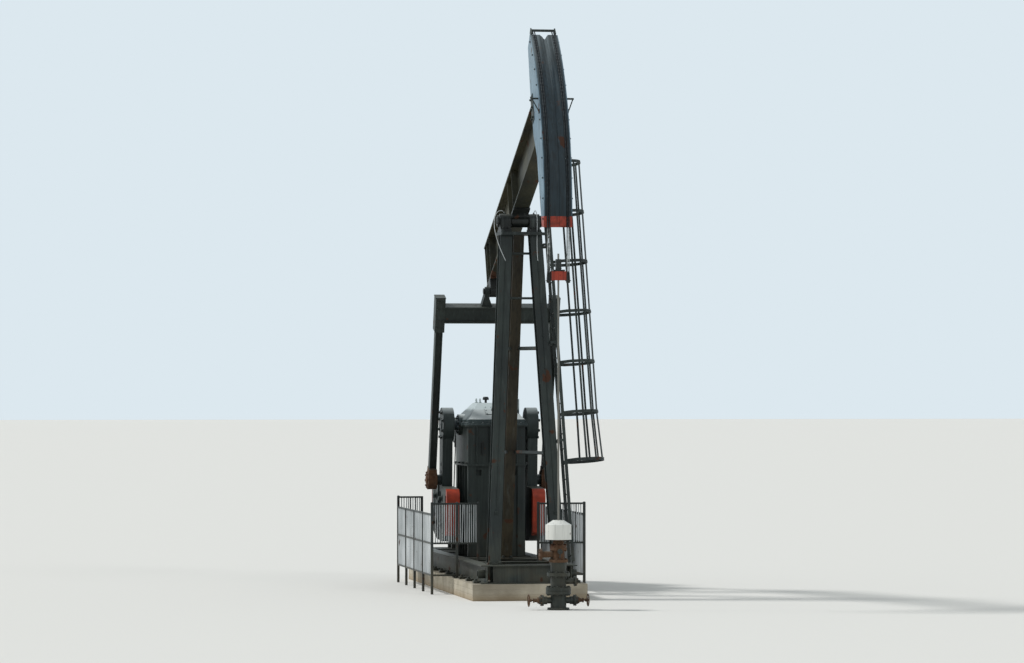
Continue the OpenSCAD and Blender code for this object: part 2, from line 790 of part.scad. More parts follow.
module head_outline(r, half = head_half) {
    edge = 1.2 * r;
    intersection() {
        circle(r = r, $fn = 720);
        polygon([[head_back, beam_top + 60], [head_end_x, head_end_x * tan(half)],
            edge * [cos(half), sin(half)], edge * [cos(half), -sin(half)],
            [head_low_x, -head_low_x * tan(half)], [head_low_x + 30, beam_seat - 600],
            [head_back, beam_seat - 60]]);
    }
}

// A strip of the curved face between two radii, over the arc of the head
module face_strip(r_in, r_out, y, half) {
    plate_y(y) difference() {
        head_outline(r_out, half);
        circle(r = r_in, $fn = 720);
    }
}

head_inside = head_w / 2 - cheek_t - fit;

// The notch in the top of the face, and the bore of the bar through the side plates
module head_cuts() {
    rotate([0, -head_half, 0]) translate([face_r - 200, 0, 0]) rotate([90, 0, 90]) linear_extrude(400)
        polygon([[-105, 30], [0, -notch_d], [105, 30]]);
    on_cross_bar() pin_y(cross_bar_d + 2 * fit, [-head_w, head_w]);
}

// The curved face with its raised strips and ribs, and the plates that sit on the nose of the beam
module horsehead() {
    rib_end = face_r - 5;
    color("darkslategray") on_beam() difference() {
        union() {
            for (side = [-1, 1]) let (mid = side * (strip_w / 2 + 32))
                face_strip(face_r - 1, face_r + strip_t, [mid - strip_w / 2, mid + strip_w / 2], head_half - 0.15);
            face_strip(face_r - face_t, face_r, [-head_inside, head_inside], head_half);
            for (rib = [[-head_half + 0.5, 230], [-14, 380], [20, 380], [head_half - 0.5, 300]])
                rotate([0, -rib[0], 0])
                    block([rib_end - rib[1], rib_end], [2 - head_inside, head_inside - 2], [-8, 8]);
            block([head_back + 5, beam_nose + 25], [-head_inside, head_inside], [beam_top + fit,
                beam_top + 30]);
            block([beam_nose + fit, beam_nose + 25], [-head_inside, head_inside], [beam_seat - 100,
                beam_top + 20]);
        }
        head_cuts();
    }
}

module head_side_right() {
    color("darkslategray") on_beam() difference() {
        plate_y([head_w / 2 - cheek_t, head_w / 2]) head_outline(face_r);
        head_cuts();
    }
}

module head_side_left() { mirror([0, 1, 0]) head_side_right(); }

module wireline_hanger() {
    lug_y = wire_y + wire_gap / 2 + wire_d / 2 + 14;
    color("darkslategray") on_beam() rotate([0, -hanger_angle, 0]) translate([wire_r, 0, 0]) {
        pin_y(hanger_d, [-lug_y, lug_y]);
        for (side = [-1, 1]) block([-90, 30], [side * lug_y - 12, side * lug_y + 12],
            [fit - (face_r - face_t) * tan(hanger_angle - head_half), 40]);
    }
}

module head_wires() {
    sweep = hanger_angle + tilt - asin((hanger_d / 2 + fit) / wire_r);
    color("gray") on_beam() for (y = wire_ys) translate([0, y, 0]) rotate([90, tilt, 0])
        rotate_extrude(angle = sweep, $fn = 180) translate([wire_r, 0]) circle(d = wire_d, $fn = 16);
}

// A bar through the side plates, braced from below by a stay at each end
module head_cross_bar() {
    reach = head_w / 2 + cross_bar_out;
    face = head_w / 2 + fit;
    color("darkslategray") on_beam() {
        on_cross_bar() {
            pin_y(cross_bar_d, [-reach, reach]);
            for (side = [-1, 1]) {
                along([0, side * (reach - 15), 0], [0, side * (face + 12), -290]) circle(d = 22, $fn = 16);
                block([-35, 35], [min(side * face, side * (face + 16)), max(side * face,
                    side * (face + 16))], [-320, -255]);
            }
        }
    }
}

tail_shaft_d = 110;
tail_housing_d = tail_shaft_d + 130;
tail_half = 165;
cheek_w = 90;

module tail_bearing() {
    color("dimgray") on_beam() difference() {
        union() {
            block([-tail_reach - 190, -tail_reach + 190], [-beam_w / 2, beam_w / 2], [beam_seat - 40,
                beam_seat]);
            block([-tail_reach - 110, -tail_reach + 110], [-tail_half, tail_half], [-tail_drop,
                beam_seat - 30]);
            translate([-tail_reach, 0, -tail_drop]) pin_y(tail_housing_d, [-tail_half, tail_half]);
        }
        translate([-tail_reach, 0, -tail_drop]) pin_y(tail_shaft_d + 2 * fit, [-beam_w, beam_w]);
    }
}

// Equalizer and pitmans

equalizer_top = -equalizer_drop + equalizer_h / 2;
equalizer_low = -equalizer_drop - equalizer_h / 2;
bracket_top = equalizer_top + 170;
bracket_low = equalizer_low - 200;

module equalizer() {
    cheek_y = tail_half + clear + 10 + cheek_w / 2;
    gusset_z = -tail_housing_d / 2 - 2 * clear;
    color("darkslategray") on_pitman() {
        pin_y(tail_shaft_d, [-cheek_y - cheek_w / 2 - 20, cheek_y + cheek_w / 2 + 20]);
        for (side = [-1, 1]) translate([0, side * cheek_y, 0]) {
            pin_y(190, [-cheek_w / 2, cheek_w / 2]);
            // Gusset that widens down to the equalizer
            translate([-90, 0, 0]) rotate([90, 0, 90]) linear_extrude(180) mirror([side < 0 ? 1 : 0,
                0]) polygon([[-cheek_w / 2, -10],
                [-cheek_w / 2, gusset_z], [-cheek_w / 2 - 70, equalizer_top - 5],
                [cheek_w / 2 + 70, equalizer_top - 5], [cheek_w / 2, -10]]);
        }
        translate([0, pitman_y - 100, -equalizer_drop]) rotate([90, 0, 0])
            linear_extrude(2 * (pitman_y - 100)) i_section(equalizer_h, 300, 200, 30);
        for (side = [-1, 1]) block([-150, 150], [side * pitman_y - 100, side * pitman_y + 100],
            [bracket_low, bracket_top]);
    }
}

wrist_block = 260;

module pitman_right() {
    color("darkslategray") on_pitman() translate([0, pitman_y, -pitman_len + wrist_block])
        linear_extrude(bracket_low + pitman_len - wrist_block - fit) i_section(pitman_w, pitman_d, 14, 18);
}

module pitman_left() { mirror([0, 1, 0]) pitman_right(); }

module wrist_bearings() {
    color("saddlebrown") on_pitman() both_sides() {
        translate([0, 0, -pitman_len]) pin_y(wrist_d, [wrist_in, wrist_out]);
        block([-pitman_d / 2 - 25, pitman_d / 2 + 25], [wrist_in + 10, wrist_out - 10], [-pitman_len,
            -pitman_len + wrist_block - fit]);
    }
}

// Cranks and counterweights

module crankshaft() {
    color("gray") on_crank() pin_y(shaft_d, [-crank_out - 12, crank_out + 12]);
}

module crank_right() {
    color("darkslategray") on_crank() {
        difference() {
            union() {
                pin_y(crank_hub_d, [crank_in - 25, crank_out]);
                plate_y([crank_in, crank_out]) intersection() {
                    circle(r = crank_tip, $fn = 360);
                    translate([-crank_w / 2, -crank_tip]) square([crank_w, crank_tip]);
                }
            }
            pin_y(shaft_d + 2 * fit, [0, 2 * crank_out]);
            // Spare wrist pin holes
            for (r = [0.72, 0.86]) translate([0, 0, -crank_r * r]) pin_y(95, [0, 2 * crank_out]);
            // Pocket in the outer face, below the pin
            plate_y([crank_out - 50, crank_out + 1]) translate([-crank_w / 2 + 60, -crank_tip + 150])
                square([crank_w - 120, crank_tip - crank_r - 400]);
        }
        translate([0, 0, -crank_r]) pin_y(220, [crank_out - 1, wrist_in - clear]);
    }
}

module crank_left() { mirror([0, 1, 0]) crank_right(); }

module weights_right() {
    corner = 180;
    y = [crank_y - weight_t / 2, crank_y + weight_t / 2];
    color("darkslategray") on_crank() for (side = [-1, 1]) mirror([side < 0 ? 1 : 0, 0, 0]) plate_y(y)
        intersection() {
            circle(r = crank_tip, $fn = 360);
            union() {
                translate([crank_w / 2, -crank_tip]) square([weight_w / 2 - crank_w / 2 - corner,
                    crank_tip - weight_start]);
                translate([crank_w / 2, -crank_tip]) square([weight_w / 2 - crank_w / 2,
                    crank_tip - weight_start - corner]);
                translate([weight_w / 2 - corner, -weight_start - corner]) circle(r = corner);
            }
        }
}

module weights_left() { mirror([0, 1, 0]) weights_right(); }

// Rod and carrier

carrier_h = 170;
slot_y = [wire_y - wire_gap / 2 - 16, wire_y + wire_gap / 2 + 16];
socket_h = 110;

module carrier_bar() {
    color("orangered") on_well() difference() {
        block([-75, 75], [-carrier_w / 2, carrier_w / 2], [carrier_z - carrier_h / 2,
            carrier_z + carrier_h / 2]);
        translate([0, 0, carrier_z - carrier_h]) cylinder(d = rod_d + 2 * fit, h = 2 * carrier_h);
        both_sides() block([-20, 80], slot_y, [carrier_z - carrier_h, carrier_z + carrier_h]);
    }
}

module rod_clamp() {
    color("gray") on_well() difference() {
        block([-50, 50], [-50, 50], [carrier_z + carrier_h / 2 + fit, carrier_z + carrier_h / 2 + 230]);
        translate([0, 0, carrier_z]) cylinder(d = rod_d + 2 * fit, h = 2 * carrier_h);
    }
}

module polished_rod() {
    color("silver") on_well() translate([0, 0, tee_z + 60]) cylinder(d = rod_d,
        h = carrier_z + 420 - tee_z - 60);
}

module bridle_wires() {
    low = carrier_z - carrier_h / 2;
    color("gray") on_well() for (y = wire_ys) translate([0, y, low - socket_h]) {
        cylinder(d = wire_d, h = bearing_h - low + socket_h - fit, $fn = 16);
        cylinder(d = 44, h = socket_h - fit, $fn = 16);
    }
}

foundation();
skid_rails();
skid_cross_members();
front_leg_left();
front_leg_right();
rear_leg();
samson_cap();
center_bearings();
leg_braces();
gearbox_pedestal();
gearbox_housing();
gearbox_cover();
gearbox_sheave();
brake_drum();
motor();
motor_base();
motor_sheave();
drive_belt();
belt_guard();
ladder();
cage_hoops();
cage_straps();
guard_left();
guard_right();
guard_front();
guard_rear_panels();
casing_head();
flow_tee();
stuffing_box();
oil_pot();
walking_beam();
saddle();
horsehead();
head_side_left();
head_side_right();
wireline_hanger();
head_wires();
head_cross_bar();
tail_bearing();
equalizer();
pitman_left();
pitman_right();
wrist_bearings();
crankshaft();
crank_left();
crank_right();
weights_left();
weights_right();
carrier_bar();
rod_clamp();
polished_rod();
bridle_wires();
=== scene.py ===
"""Beam pumping unit: paint, weathering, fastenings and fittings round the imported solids."""
import json
import math

import bmesh
import bpy
from mathutils import Matrix, Vector


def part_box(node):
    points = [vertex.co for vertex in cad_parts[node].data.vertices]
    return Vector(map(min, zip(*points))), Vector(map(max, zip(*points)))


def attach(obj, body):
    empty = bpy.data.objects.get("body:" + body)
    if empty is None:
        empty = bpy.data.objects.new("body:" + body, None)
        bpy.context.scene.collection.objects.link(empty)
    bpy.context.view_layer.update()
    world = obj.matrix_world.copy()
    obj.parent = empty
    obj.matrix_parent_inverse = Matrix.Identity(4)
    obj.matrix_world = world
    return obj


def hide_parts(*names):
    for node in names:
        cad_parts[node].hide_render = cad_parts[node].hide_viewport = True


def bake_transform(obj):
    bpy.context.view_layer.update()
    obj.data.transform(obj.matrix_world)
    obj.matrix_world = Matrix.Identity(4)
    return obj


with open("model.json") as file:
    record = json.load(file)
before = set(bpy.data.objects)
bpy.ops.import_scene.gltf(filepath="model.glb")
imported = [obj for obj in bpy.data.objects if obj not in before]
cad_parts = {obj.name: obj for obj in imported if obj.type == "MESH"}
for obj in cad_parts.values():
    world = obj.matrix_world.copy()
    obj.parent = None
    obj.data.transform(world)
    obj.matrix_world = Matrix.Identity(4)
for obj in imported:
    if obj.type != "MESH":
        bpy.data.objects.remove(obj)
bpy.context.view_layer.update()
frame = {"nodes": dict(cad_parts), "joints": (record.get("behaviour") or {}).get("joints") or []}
solids = frame["nodes"]

# Viewpoint: in front of the well, a little to the left, a few metres above the ground and a long
# way off, so that the unit shows almost square to its head.
camera_place = Vector((78.97, -13.0, 4.2))
camera_target = Vector((-0.9, 0.0, 5.35))
camera = bpy.data.objects.new("camera", bpy.data.cameras.new("camera"))
bpy.context.scene.collection.objects.link(camera)
camera.location = camera_place
camera.rotation_euler = (camera_target - camera_place).to_track_quat("-Z", "Y").to_euler()
camera.data.lens = 140
camera.data.clip_end = 1000
bpy.context.scene.camera = camera


# Studio: a wide pale floor under a pale surround, one broad lamp high on the left
# and a weaker one from the front right, so that the dark paint still reads.
def linear(colour):
    """An sRGB hex colour as the linear values that a shader takes."""
    channels = [int(colour[i:i + 2], 16) / 255 for i in (1, 3, 5)]
    return [c / 12.92 if c <= 0.04045 else ((c + 0.055) / 1.055) ** 2.4 for c in channels] + [1.0]


def add_node(tree, kind, inputs=None, **settings):
    """Adds a shader node with its settings; an input is a value, a socket or a node's first output."""
    node = tree.nodes.new(kind)
    for name, value in settings.items():
        setattr(node, name, value)
    for name, value in (inputs or {}).items():
        if isinstance(value, bpy.types.Node):
            value = value.outputs[0]
        if isinstance(value, bpy.types.NodeSocket):
            tree.links.new(value, node.inputs[name])
        else:
            node.inputs[name].default_value = value
    return node


floor_reach = 900
bpy.ops.object.select_all(action="DESELECT")
bpy.ops.mesh.primitive_plane_add(size=floor_reach, location=(0, 0, 0))
floor = bpy.context.object
floor.name = "floor"
floor_paint = bpy.data.materials.new("studio_floor")
floor_paint.use_nodes = True
floor_paint.node_tree.nodes["Principled BSDF"].inputs["Base Color"].default_value = linear("#d6d4ce")
floor_paint.node_tree.nodes["Principled BSDF"].inputs["Roughness"].default_value = 0.9
floor.data.materials.append(floor_paint)

lamps = (("key_lamp", (-0.25, -0.85, 0.95), 2.45), ("fill_lamp", (0.9, 0.5, 0.55), 0.35))
for lamp_name, lamp_from, lamp_strength in lamps:
    lamp = bpy.data.objects.new(lamp_name, bpy.data.lights.new(lamp_name, "SUN"))
    lamp.data.energy = lamp_strength
    lamp.data.angle = math.radians(9)
    lamp.rotation_euler = Vector(lamp_from).to_track_quat("Z", "Y").to_euler()
    bpy.context.scene.collection.objects.link(lamp)

surround = bpy.data.worlds.new("surround")
surround.use_nodes = True
bpy.context.scene.world = surround
sky_tree = surround.node_tree
sky_tree.nodes.clear()
seen = add_node(sky_tree, "ShaderNodeLightPath")
room_light = add_node(sky_tree, "ShaderNodeBackground", {"Color": linear("#dfe7ec"), "Strength": 0.62})
backdrop = add_node(sky_tree, "ShaderNodeBackground", {"Color": linear("#dce8ef"), "Strength": 1.0})
either = add_node(sky_tree, "ShaderNodeMath",
    {0: seen.outputs["Is Camera Ray"], 1: seen.outputs["Is Glossy Ray"]}, operation="MAXIMUM")
sky_mix = add_node(sky_tree, "ShaderNodeMixShader", {0: either, 1: room_light, 2: backdrop})
add_node(sky_tree, "ShaderNodeOutputWorld", {"Surface": sky_mix})
bpy.context.scene.view_settings.view_transform = "Standard"

# Concrete base: one block cast in board forms, its edges a little broken, stained by oil below
# the gearbox and by splashed soil along its foot.
concrete = bpy.data.materials.new("cast_concrete")
concrete.use_nodes = True
tree = concrete.node_tree
shader = tree.nodes["Principled BSDF"]
# Cast concrete is matt all over, like fine sandpaper
shader.inputs["Roughness"].default_value = 0.92
place = add_node(tree, "ShaderNodeTexCoord").outputs["Object"]
axes = add_node(tree, "ShaderNodeSeparateXYZ", {"Vector": place})
# Mottled in patches 400 mm across, with damp areas three times that size
mottle = add_node(tree, "ShaderNodeTexNoise", {"Vector": place, "Scale": 1000 / 400, "Detail": 6.0})
patchy = add_node(tree, "ShaderNodeMapRange", {"Value": mottle, "From Min": 0.35, "From Max": 0.7})
pale = add_node(tree, "ShaderNodeMixRGB", {"Fac": patchy, "Color1": linear("#99917f"),
    "Color2": linear("#b7ae9c")})
damp = add_node(tree, "ShaderNodeTexNoise", {"Vector": place, "Scale": 1000 / 1250, "Detail": 5.0})
damp_part = add_node(tree, "ShaderNodeMapRange", {"Value": damp, "From Min": 0.5, "From Max": 0.62,
    "To Max": 0.5})
damped = add_node(tree, "ShaderNodeMixRGB", {"Fac": damp_part, "Color1": pale, "Color2": linear("#71685a")})
# Oil has dripped for years between the cranks
drip = add_node(tree, "ShaderNodeMapping", {"Vector": place, "Location": (3.3, 0, 0),
    "Scale": (0.55, 0.9, 0)})
reach = add_node(tree, "ShaderNodeVectorMath", {0: drip}, operation="LENGTH").outputs["Value"]
spread = add_node(tree, "ShaderNodeMath", {0: reach, 1: mottle}, operation="SUBTRACT")
oil_part = add_node(tree, "ShaderNodeMapRange", {"Value": spread, "From Min": 0.75, "From Max": 0.2,
    "To Max": 0.8})
oiled = add_node(tree, "ShaderNodeMixRGB", {"Fac": oil_part, "Color1": damped, "Color2": linear("#3d362b")})
# Soil is splashed up to 160 mm above the ground
splash = add_node(tree, "ShaderNodeMapRange", {"Value": axes.outputs["Z"], "From Min": 0.16,
    "From Max": 0.0, "To Max": 0.6})
soiled = add_node(tree, "ShaderNodeMixRGB", {"Fac": splash, "Color1": oiled, "Color2": linear("#856d4a")})
tree.links.new(soiled.outputs[0], shader.inputs["Base Color"])
# The forms were boards 110 mm wide; sand grains are drawn 11 mm apart to show at all
boards = add_node(tree, "ShaderNodeTexWave", {"Vector": place, "Scale": math.pi / (10 * 0.11),
    "Distortion": 0.4}, bands_direction="Z")
seams = add_node(tree, "ShaderNodeMapRange", {"Value": boards, "From Min": 0.02, "From Max": 0.12})
grit = add_node(tree, "ShaderNodeTexNoise", {"Vector": place, "Scale": 1000 / 11, "Detail": 2.0})
cast_face = add_node(tree, "ShaderNodeMath", {0: grit, 1: seams}, operation="ADD")
bump = add_node(tree, "ShaderNodeBump", {"Height": cast_face, "Distance": 0.004, "Strength": 1.0})
tree.links.new(bump.outputs[0], shader.inputs["Normal"])


def finish_solids(material, slot, *names):
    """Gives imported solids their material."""
    for name in names:
        solids[name].data.materials.clear()
        solids[name].data.materials.append(material)


finish_solids(concrete, "base_concrete", "foundation")


# Skid: two rolled rails with cross members between them, shop painted a dark olive green and
# clamped to bolts cast in the base; a pipe stub at each corner takes the lifting hook.
def enamelled_steel(name, colour, faded, rust=0.5, streaks=0.5, dust=0.5, roughness=0.5,
        chalk_tone="#5c6462", top_dust_and_sun_tone="#7d7d72"):
    """Enamel paint on steel, dull from weather; rust, streaks and dust run from 0 to 1."""
    material = bpy.data.materials.new(name)
    material.use_nodes = True
    tree = material.node_tree
    shader = tree.nodes["Principled BSDF"]
    # Chalking has taken most of the paint's gloss
    shader.inputs["Specular IOR Level"].default_value = 0.28
    place = add_node(tree, "ShaderNodeTexCoord").outputs["Object"]
    # Faded in clouds 1100 mm across
    clouds = add_node(tree, "ShaderNodeTexNoise", {"Vector": place, "Scale": 1000 / 1100, "Detail": 5.0})
    fade = add_node(tree, "ShaderNodeMapRange", {"Value": clouds, "From Min": 0.38, "From Max": 0.68})
    paint = add_node(tree, "ShaderNodeMixRGB",
        {"Fac": fade, "Color1": linear(colour), "Color2": linear(faded)})
    # Rain has left dark runs 38 mm wide and 900 mm long
    drawn = add_node(tree, "ShaderNodeMapping",
        {"Vector": place, "Scale": (1000 / 38, 1000 / 38, 1000 / 900)})
    runs = add_node(tree, "ShaderNodeTexNoise", {"Vector": drawn, "Scale": 1.0, "Detail": 3.0})
    run_part = add_node(tree, "ShaderNodeMapRange", {"Value": runs, "From Min": 0.47, "From Max": 0.68,
        "To Max": 0.7 * streaks})
    washed = add_node(tree, "ShaderNodeMixRGB",
        {"Fac": run_part, "Color1": paint, "Color2": linear("#0f1110")})
    # Between them the chalked paint runs pale, in streaks 60 mm wide
    chalk_drawn = add_node(tree, "ShaderNodeMapping", {"Vector": place, "Location": (3, 7, 5),
        "Scale": (1000 / 60, 1000 / 60, 1000 / 1300)})
    chalk = add_node(tree, "ShaderNodeTexNoise", {"Vector": chalk_drawn, "Scale": 1.0, "Detail": 4.0})
    chalk_part = add_node(tree, "ShaderNodeMapRange", {"Value": chalk, "From Min": 0.58, "From Max": 0.76,
        "To Max": 0.4 * streaks})
    chalked = add_node(tree, "ShaderNodeMixRGB",
        {"Fac": chalk_part, "Color1": washed, "Color2": linear(chalk_tone)})
    # Dust clings to the lowest 1600 mm, and settles on faces that look up; a pale top tone there is also
    # painted sunlight
    height = add_node(tree, "ShaderNodeSeparateXYZ", {"Vector": place}).outputs["Z"]
    low_part = add_node(tree, "ShaderNodeMapRange", {"Value": height, "From Min": 1.6, "From Max": 0.3})
    dust_patch = add_node(tree, "ShaderNodeTexNoise", {"Vector": place, "Scale": 1000 / 330, "Detail": 4.0})
    dust_part = add_node(tree, "ShaderNodeMapRange",
        {"Value": dust_patch, "From Min": 0.3, "From Max": 0.7, "To Max": dust})
    dust_low = add_node(tree, "ShaderNodeMath", {0: low_part, 1: dust_part}, operation="MULTIPLY")
    dusty = add_node(tree, "ShaderNodeMixRGB",
        {"Fac": dust_low, "Color1": chalked, "Color2": linear("#5f5643")})
    facing = add_node(tree, "ShaderNodeNewGeometry").outputs["Normal"]
    upward = add_node(tree, "ShaderNodeSeparateXYZ", {"Vector": facing}).outputs["Z"]
    top_dust_and_sun_part = add_node(tree, "ShaderNodeMapRange", {"Value": upward, "From Min": 0.6, "From Max": 1.0,
        "To Max": 0.65 * dust})
    top_dusted_and_sunlit = add_node(tree, "ShaderNodeMixRGB",
        {"Fac": top_dust_and_sun_part, "Color1": dusty, "Color2": linear(top_dust_and_sun_tone)})
    # Rust breaks through in ragged patches from a 320 mm pattern, and in chips from a 45 mm one
    patches = add_node(tree, "ShaderNodeTexNoise", {"Vector": place, "Scale": 1000 / 320, "Detail": 9.0})
    bare = add_node(tree, "ShaderNodeMapRange", {"Value": patches, "From Min": 0.67 - 0.05 * rust,
        "From Max": 0.70 - 0.05 * rust, "To Max": 0.85})
    chips = add_node(tree, "ShaderNodeTexNoise", {"Vector": place, "Scale": 1000 / 45, "Detail": 3.0})
    chipped = add_node(tree, "ShaderNodeMapRange", {"Value": chips, "From Min": 0.73 - 0.05 * rust,
        "From Max": 0.75 - 0.05 * rust, "To Max": 0.9})
    lost = add_node(tree, "ShaderNodeMath", {0: bare, 1: chipped}, operation="MAXIMUM")
    rusted = add_node(tree, "ShaderNodeMixRGB", {"Fac": lost, "Color1": top_dusted_and_sunlit, "Color2": linear("#452a1b")})
    tree.links.new(rusted.outputs[0], shader.inputs["Base Color"])
    # Sound paint keeps a dull sheen, and rust has none
    sheen = add_node(tree, "ShaderNodeMapRange", {"Value": lost, "To Min": roughness, "To Max": 0.9})
    tree.links.new(sheen.outputs[0], shader.inputs["Roughness"])
    # Brushed paint is uneven every 25 mm
    uneven = add_node(tree, "ShaderNodeTexNoise", {"Vector": place, "Scale": 1000 / 25, "Detail": 3.0})
    bump = add_node(tree, "ShaderNodeBump", {"Height": uneven, "Distance": 0.0015, "Strength": 1.0})
    tree.links.new(bump.outputs[0], shader.inputs["Normal"])
    return material


# Olive enamel sprayed on steel: near black in the shade, grey green where it has faded
olive = enamelled_steel("olive_enamel", "#1e2524", "#343c38", rust=0.5, streaks=0.6, dust=0.4)
finish_solids(olive, "green_paint", "skid_rails", "skid_cross_members")


def deselect():
    """Clears the selection, so that an operator acts on new work alone."""
    bpy.ops.object.select_all(action="DESELECT")


def pick_faces(piece, wanted):
    """In edit mode, selects the faces whose middle and normal pass a test."""
    bpy.ops.mesh.select_mode(type="FACE")
    mesh = bmesh.from_edit_mesh(piece.data)
    for face in mesh.faces:
        face.select_set(bool(wanted(face.calc_center_median(), face.normal)))
    bmesh.update_edit_mesh(piece.data)


def take_up(piece):
    """Makes one piece the selected and active one."""
    deselect()
    piece.select_set(True)
    bpy.context.view_layer.objects.active = piece


def settle(piece):
    """Applies the object's place, turn and size to its mesh."""
    take_up(piece)
    bpy.ops.object.transform_apply(location=True, rotation=True, scale=True)


def round_edges(piece, width, segments=1):
    """Rounds a piece's edges with a bevel that is applied."""
    bevel = piece.modifiers.new("edges", "BEVEL")
    bevel.width = width
    bevel.segments = segments
    bevel.limit_method = "ANGLE"
    take_up(piece)
    bpy.ops.object.modifier_apply(modifier=bevel.name)


def plate(low, high, edge=0.003):
    """A flat or square piece between two corners, with its edges broken."""
    deselect()
    corners = list(zip(low, high))
    low, high = (Vector([pick(pair) for pair in corners]) for pick in (min, max))
    bpy.ops.mesh.primitive_cube_add(size=1, location=(low + high) / 2, scale=high - low)
    piece = bpy.context.object
    settle(piece)
    round_edges(piece, edge)
    return piece


def placed(piece, at):
    """Moves a piece's mesh to a place in a frame."""
    piece.data.transform(at)
    return piece


def standing(point, toward, size=1.0):
    """The place of a copy: at a point, its Z axis along a direction, at a size."""
    turn = Vector(toward).to_track_quat("Z", "Y").to_matrix().to_4x4()
    return Matrix.Translation(point) @ turn @ Matrix.Scale(size, 4)


def turned(point, toward, rings, sides=24):
    """A turned piece: a disc extruded and resized along an axis through rings of (diameter, height)."""
    deselect()
    bpy.ops.mesh.primitive_circle_add(vertices=sides, radius=rings[0][0] / 2, fill_type="NGON",
        location=(0, 0, rings[0][1]))
    piece = bpy.context.object
    settle(piece)
    bpy.ops.object.mode_set(mode="EDIT")
    bpy.ops.mesh.select_all(action="SELECT")
    for (before, low), (after, high) in zip(rings, rings[1:]):
        bpy.ops.mesh.extrude_region_move(TRANSFORM_OT_translate={"value": (0, 0, high - low)})
        if after != before:
            bpy.ops.transform.resize(value=(after / before, after / before, 1))
    bpy.ops.mesh.select_all(action="SELECT")
    bpy.ops.mesh.normals_make_consistent(inside=False)
    bpy.ops.object.mode_set(mode="OBJECT")
    return placed(piece, standing(point, toward))


def copies(piece, places):
    """Copies a piece to each place, each copy with its own mesh."""
    made = []
    for at in places:
        one = piece.copy()
        one.data = piece.data.copy()
        one.data.transform(at)
        bpy.context.scene.collection.objects.link(one)
        made.append(one)
    return made


def fit_out(parts, name, body, material):
    """Joins the parts of a piece, smooths its round faces, paints it and hangs it on its body."""
    take_up(parts[0])
    for part in parts[1:]:
        part.select_set(True)
    if len(parts) > 1:
        bpy.ops.object.join()
    bpy.ops.object.shade_smooth_by_angle(angle=math.radians(35))
    piece = bpy.context.view_layer.objects.active
    piece.name = piece.data.name = name
    piece.data.materials.clear()
    piece.data.materials.append(material)
    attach(piece, body)
    return piece


# A hexagon head with a chamfered top on a round washer, one metre across its flats before it is scaled
deselect()
bpy.ops.mesh.primitive_cylinder_add(vertices=16, radius=0.95, depth=0.14, location=(0, 0, 0.07))
washer = bpy.context.object
settle(washer)
deselect()
bpy.ops.mesh.primitive_cylinder_add(vertices=6, radius=0.5774, depth=0.66, location=(0, 0, 0.47))
bolt = bpy.context.object
settle(bolt)
bpy.ops.object.mode_set(mode="EDIT")
pick_faces(bolt, lambda middle, normal: normal.z > 0.9)
bpy.ops.mesh.inset(thickness=0.09, depth=0.06)
bpy.ops.object.mode_set(mode="OBJECT")
washer.select_set(True)
bpy.ops.object.join()


def bolts(name, body, across, spots, frame_at=None, material=None):
    """Bolts of one size at spots of (point, direction), in a frame that may lean with the linkage."""
    frame_at = frame_at or Matrix.Identity(4)
    places = [frame_at @ standing(point, toward, across) for point, toward in spots]
    return fit_out(copies(bolt, places), name, body, material or olive)


rail_low, rail_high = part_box("skid_rails")
base_top, skid_top = rail_low.z, rail_high.z
clamp_xs = [rail_low.x + 0.35 + i * (rail_high.x - rail_low.x - 0.7) / 9 for i in range(10)]
clamps = []
for side in (-1, 1):
    for x in clamp_xs:
        inner, outer = side * (rail_high.y - 0.04), side * (rail_high.y + 0.11)
        heel = side * (rail_high.y + 0.012)
        clamps.append(plate((x - 0.08, inner, base_top + 0.026), (x + 0.08, outer, base_top + 0.05)))
        clamps.append(plate((x - 0.08, heel, base_top), (x + 0.08, outer, base_top + 0.026)))
fit_out(clamps, "skid_clamps", "frame", olive)
bolts("skid_clamp_bolts", "frame", 0.046, [((x, side * (rail_high.y + 0.055), base_top + 0.05), (0, 0, 1))
    for side in (-1, 1) for x in clamp_xs])
stub_rings = [(0.168, 0), (0.168, 0.145), (0.14, 0.145), (0.14, 0.01)]
stub_z = (base_top + skid_top) / 2
stubs = [turned((x, side * (rail_high.y - 0.117), stub_z), (0, side, 0), stub_rings) for side in (-1, 1)
    for x in (rail_low.x + 0.3, rail_high.x - 0.3)]
fit_out(stubs, "skid_lifting_stubs", "frame", olive)

# Samson post: two front legs and a rear leg of rolled I-section, welded to foot plates that are
# bolted down on the skid, tied by round rods and square struts, under one thick cap plate.
finish_solids(olive, "green_paint", "front_leg_left", "front_leg_right", "samson_cap", "leg_braces")
# The same enamel soaked with oil and soil: browner, and rustier than the rest
umber = enamelled_steel("soiled_olive_enamel", "#2c281f", "#433c2d", rust=0.7, streaks=0.7)
finish_solids(umber, "green_paint", "rear_leg")
foot_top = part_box("front_leg_left")[0].z + 0.03
foot_bolts = []
for leg in ("front_leg_left", "front_leg_right", "rear_leg"):
    low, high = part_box(leg)
    if leg == "rear_leg":
        foot_x, foot_y, bolt_x, bolt_y = low.x + 0.195, 0.0, 0.168, 0.08
    else:
        foot_x, foot_y, bolt_x, bolt_y = high.x - 0.2025, math.copysign(0.65, low.y + high.y), 0.175, 0.1
    foot_bolts += [((foot_x + side_x * bolt_x, foot_y + side_y * bolt_y, foot_top), (0, 0, 1))
        for side_x in (-1, 1) for side_y in (-1, 1)]
bolts("post_foot_bolts", "frame", 0.05, foot_bolts)
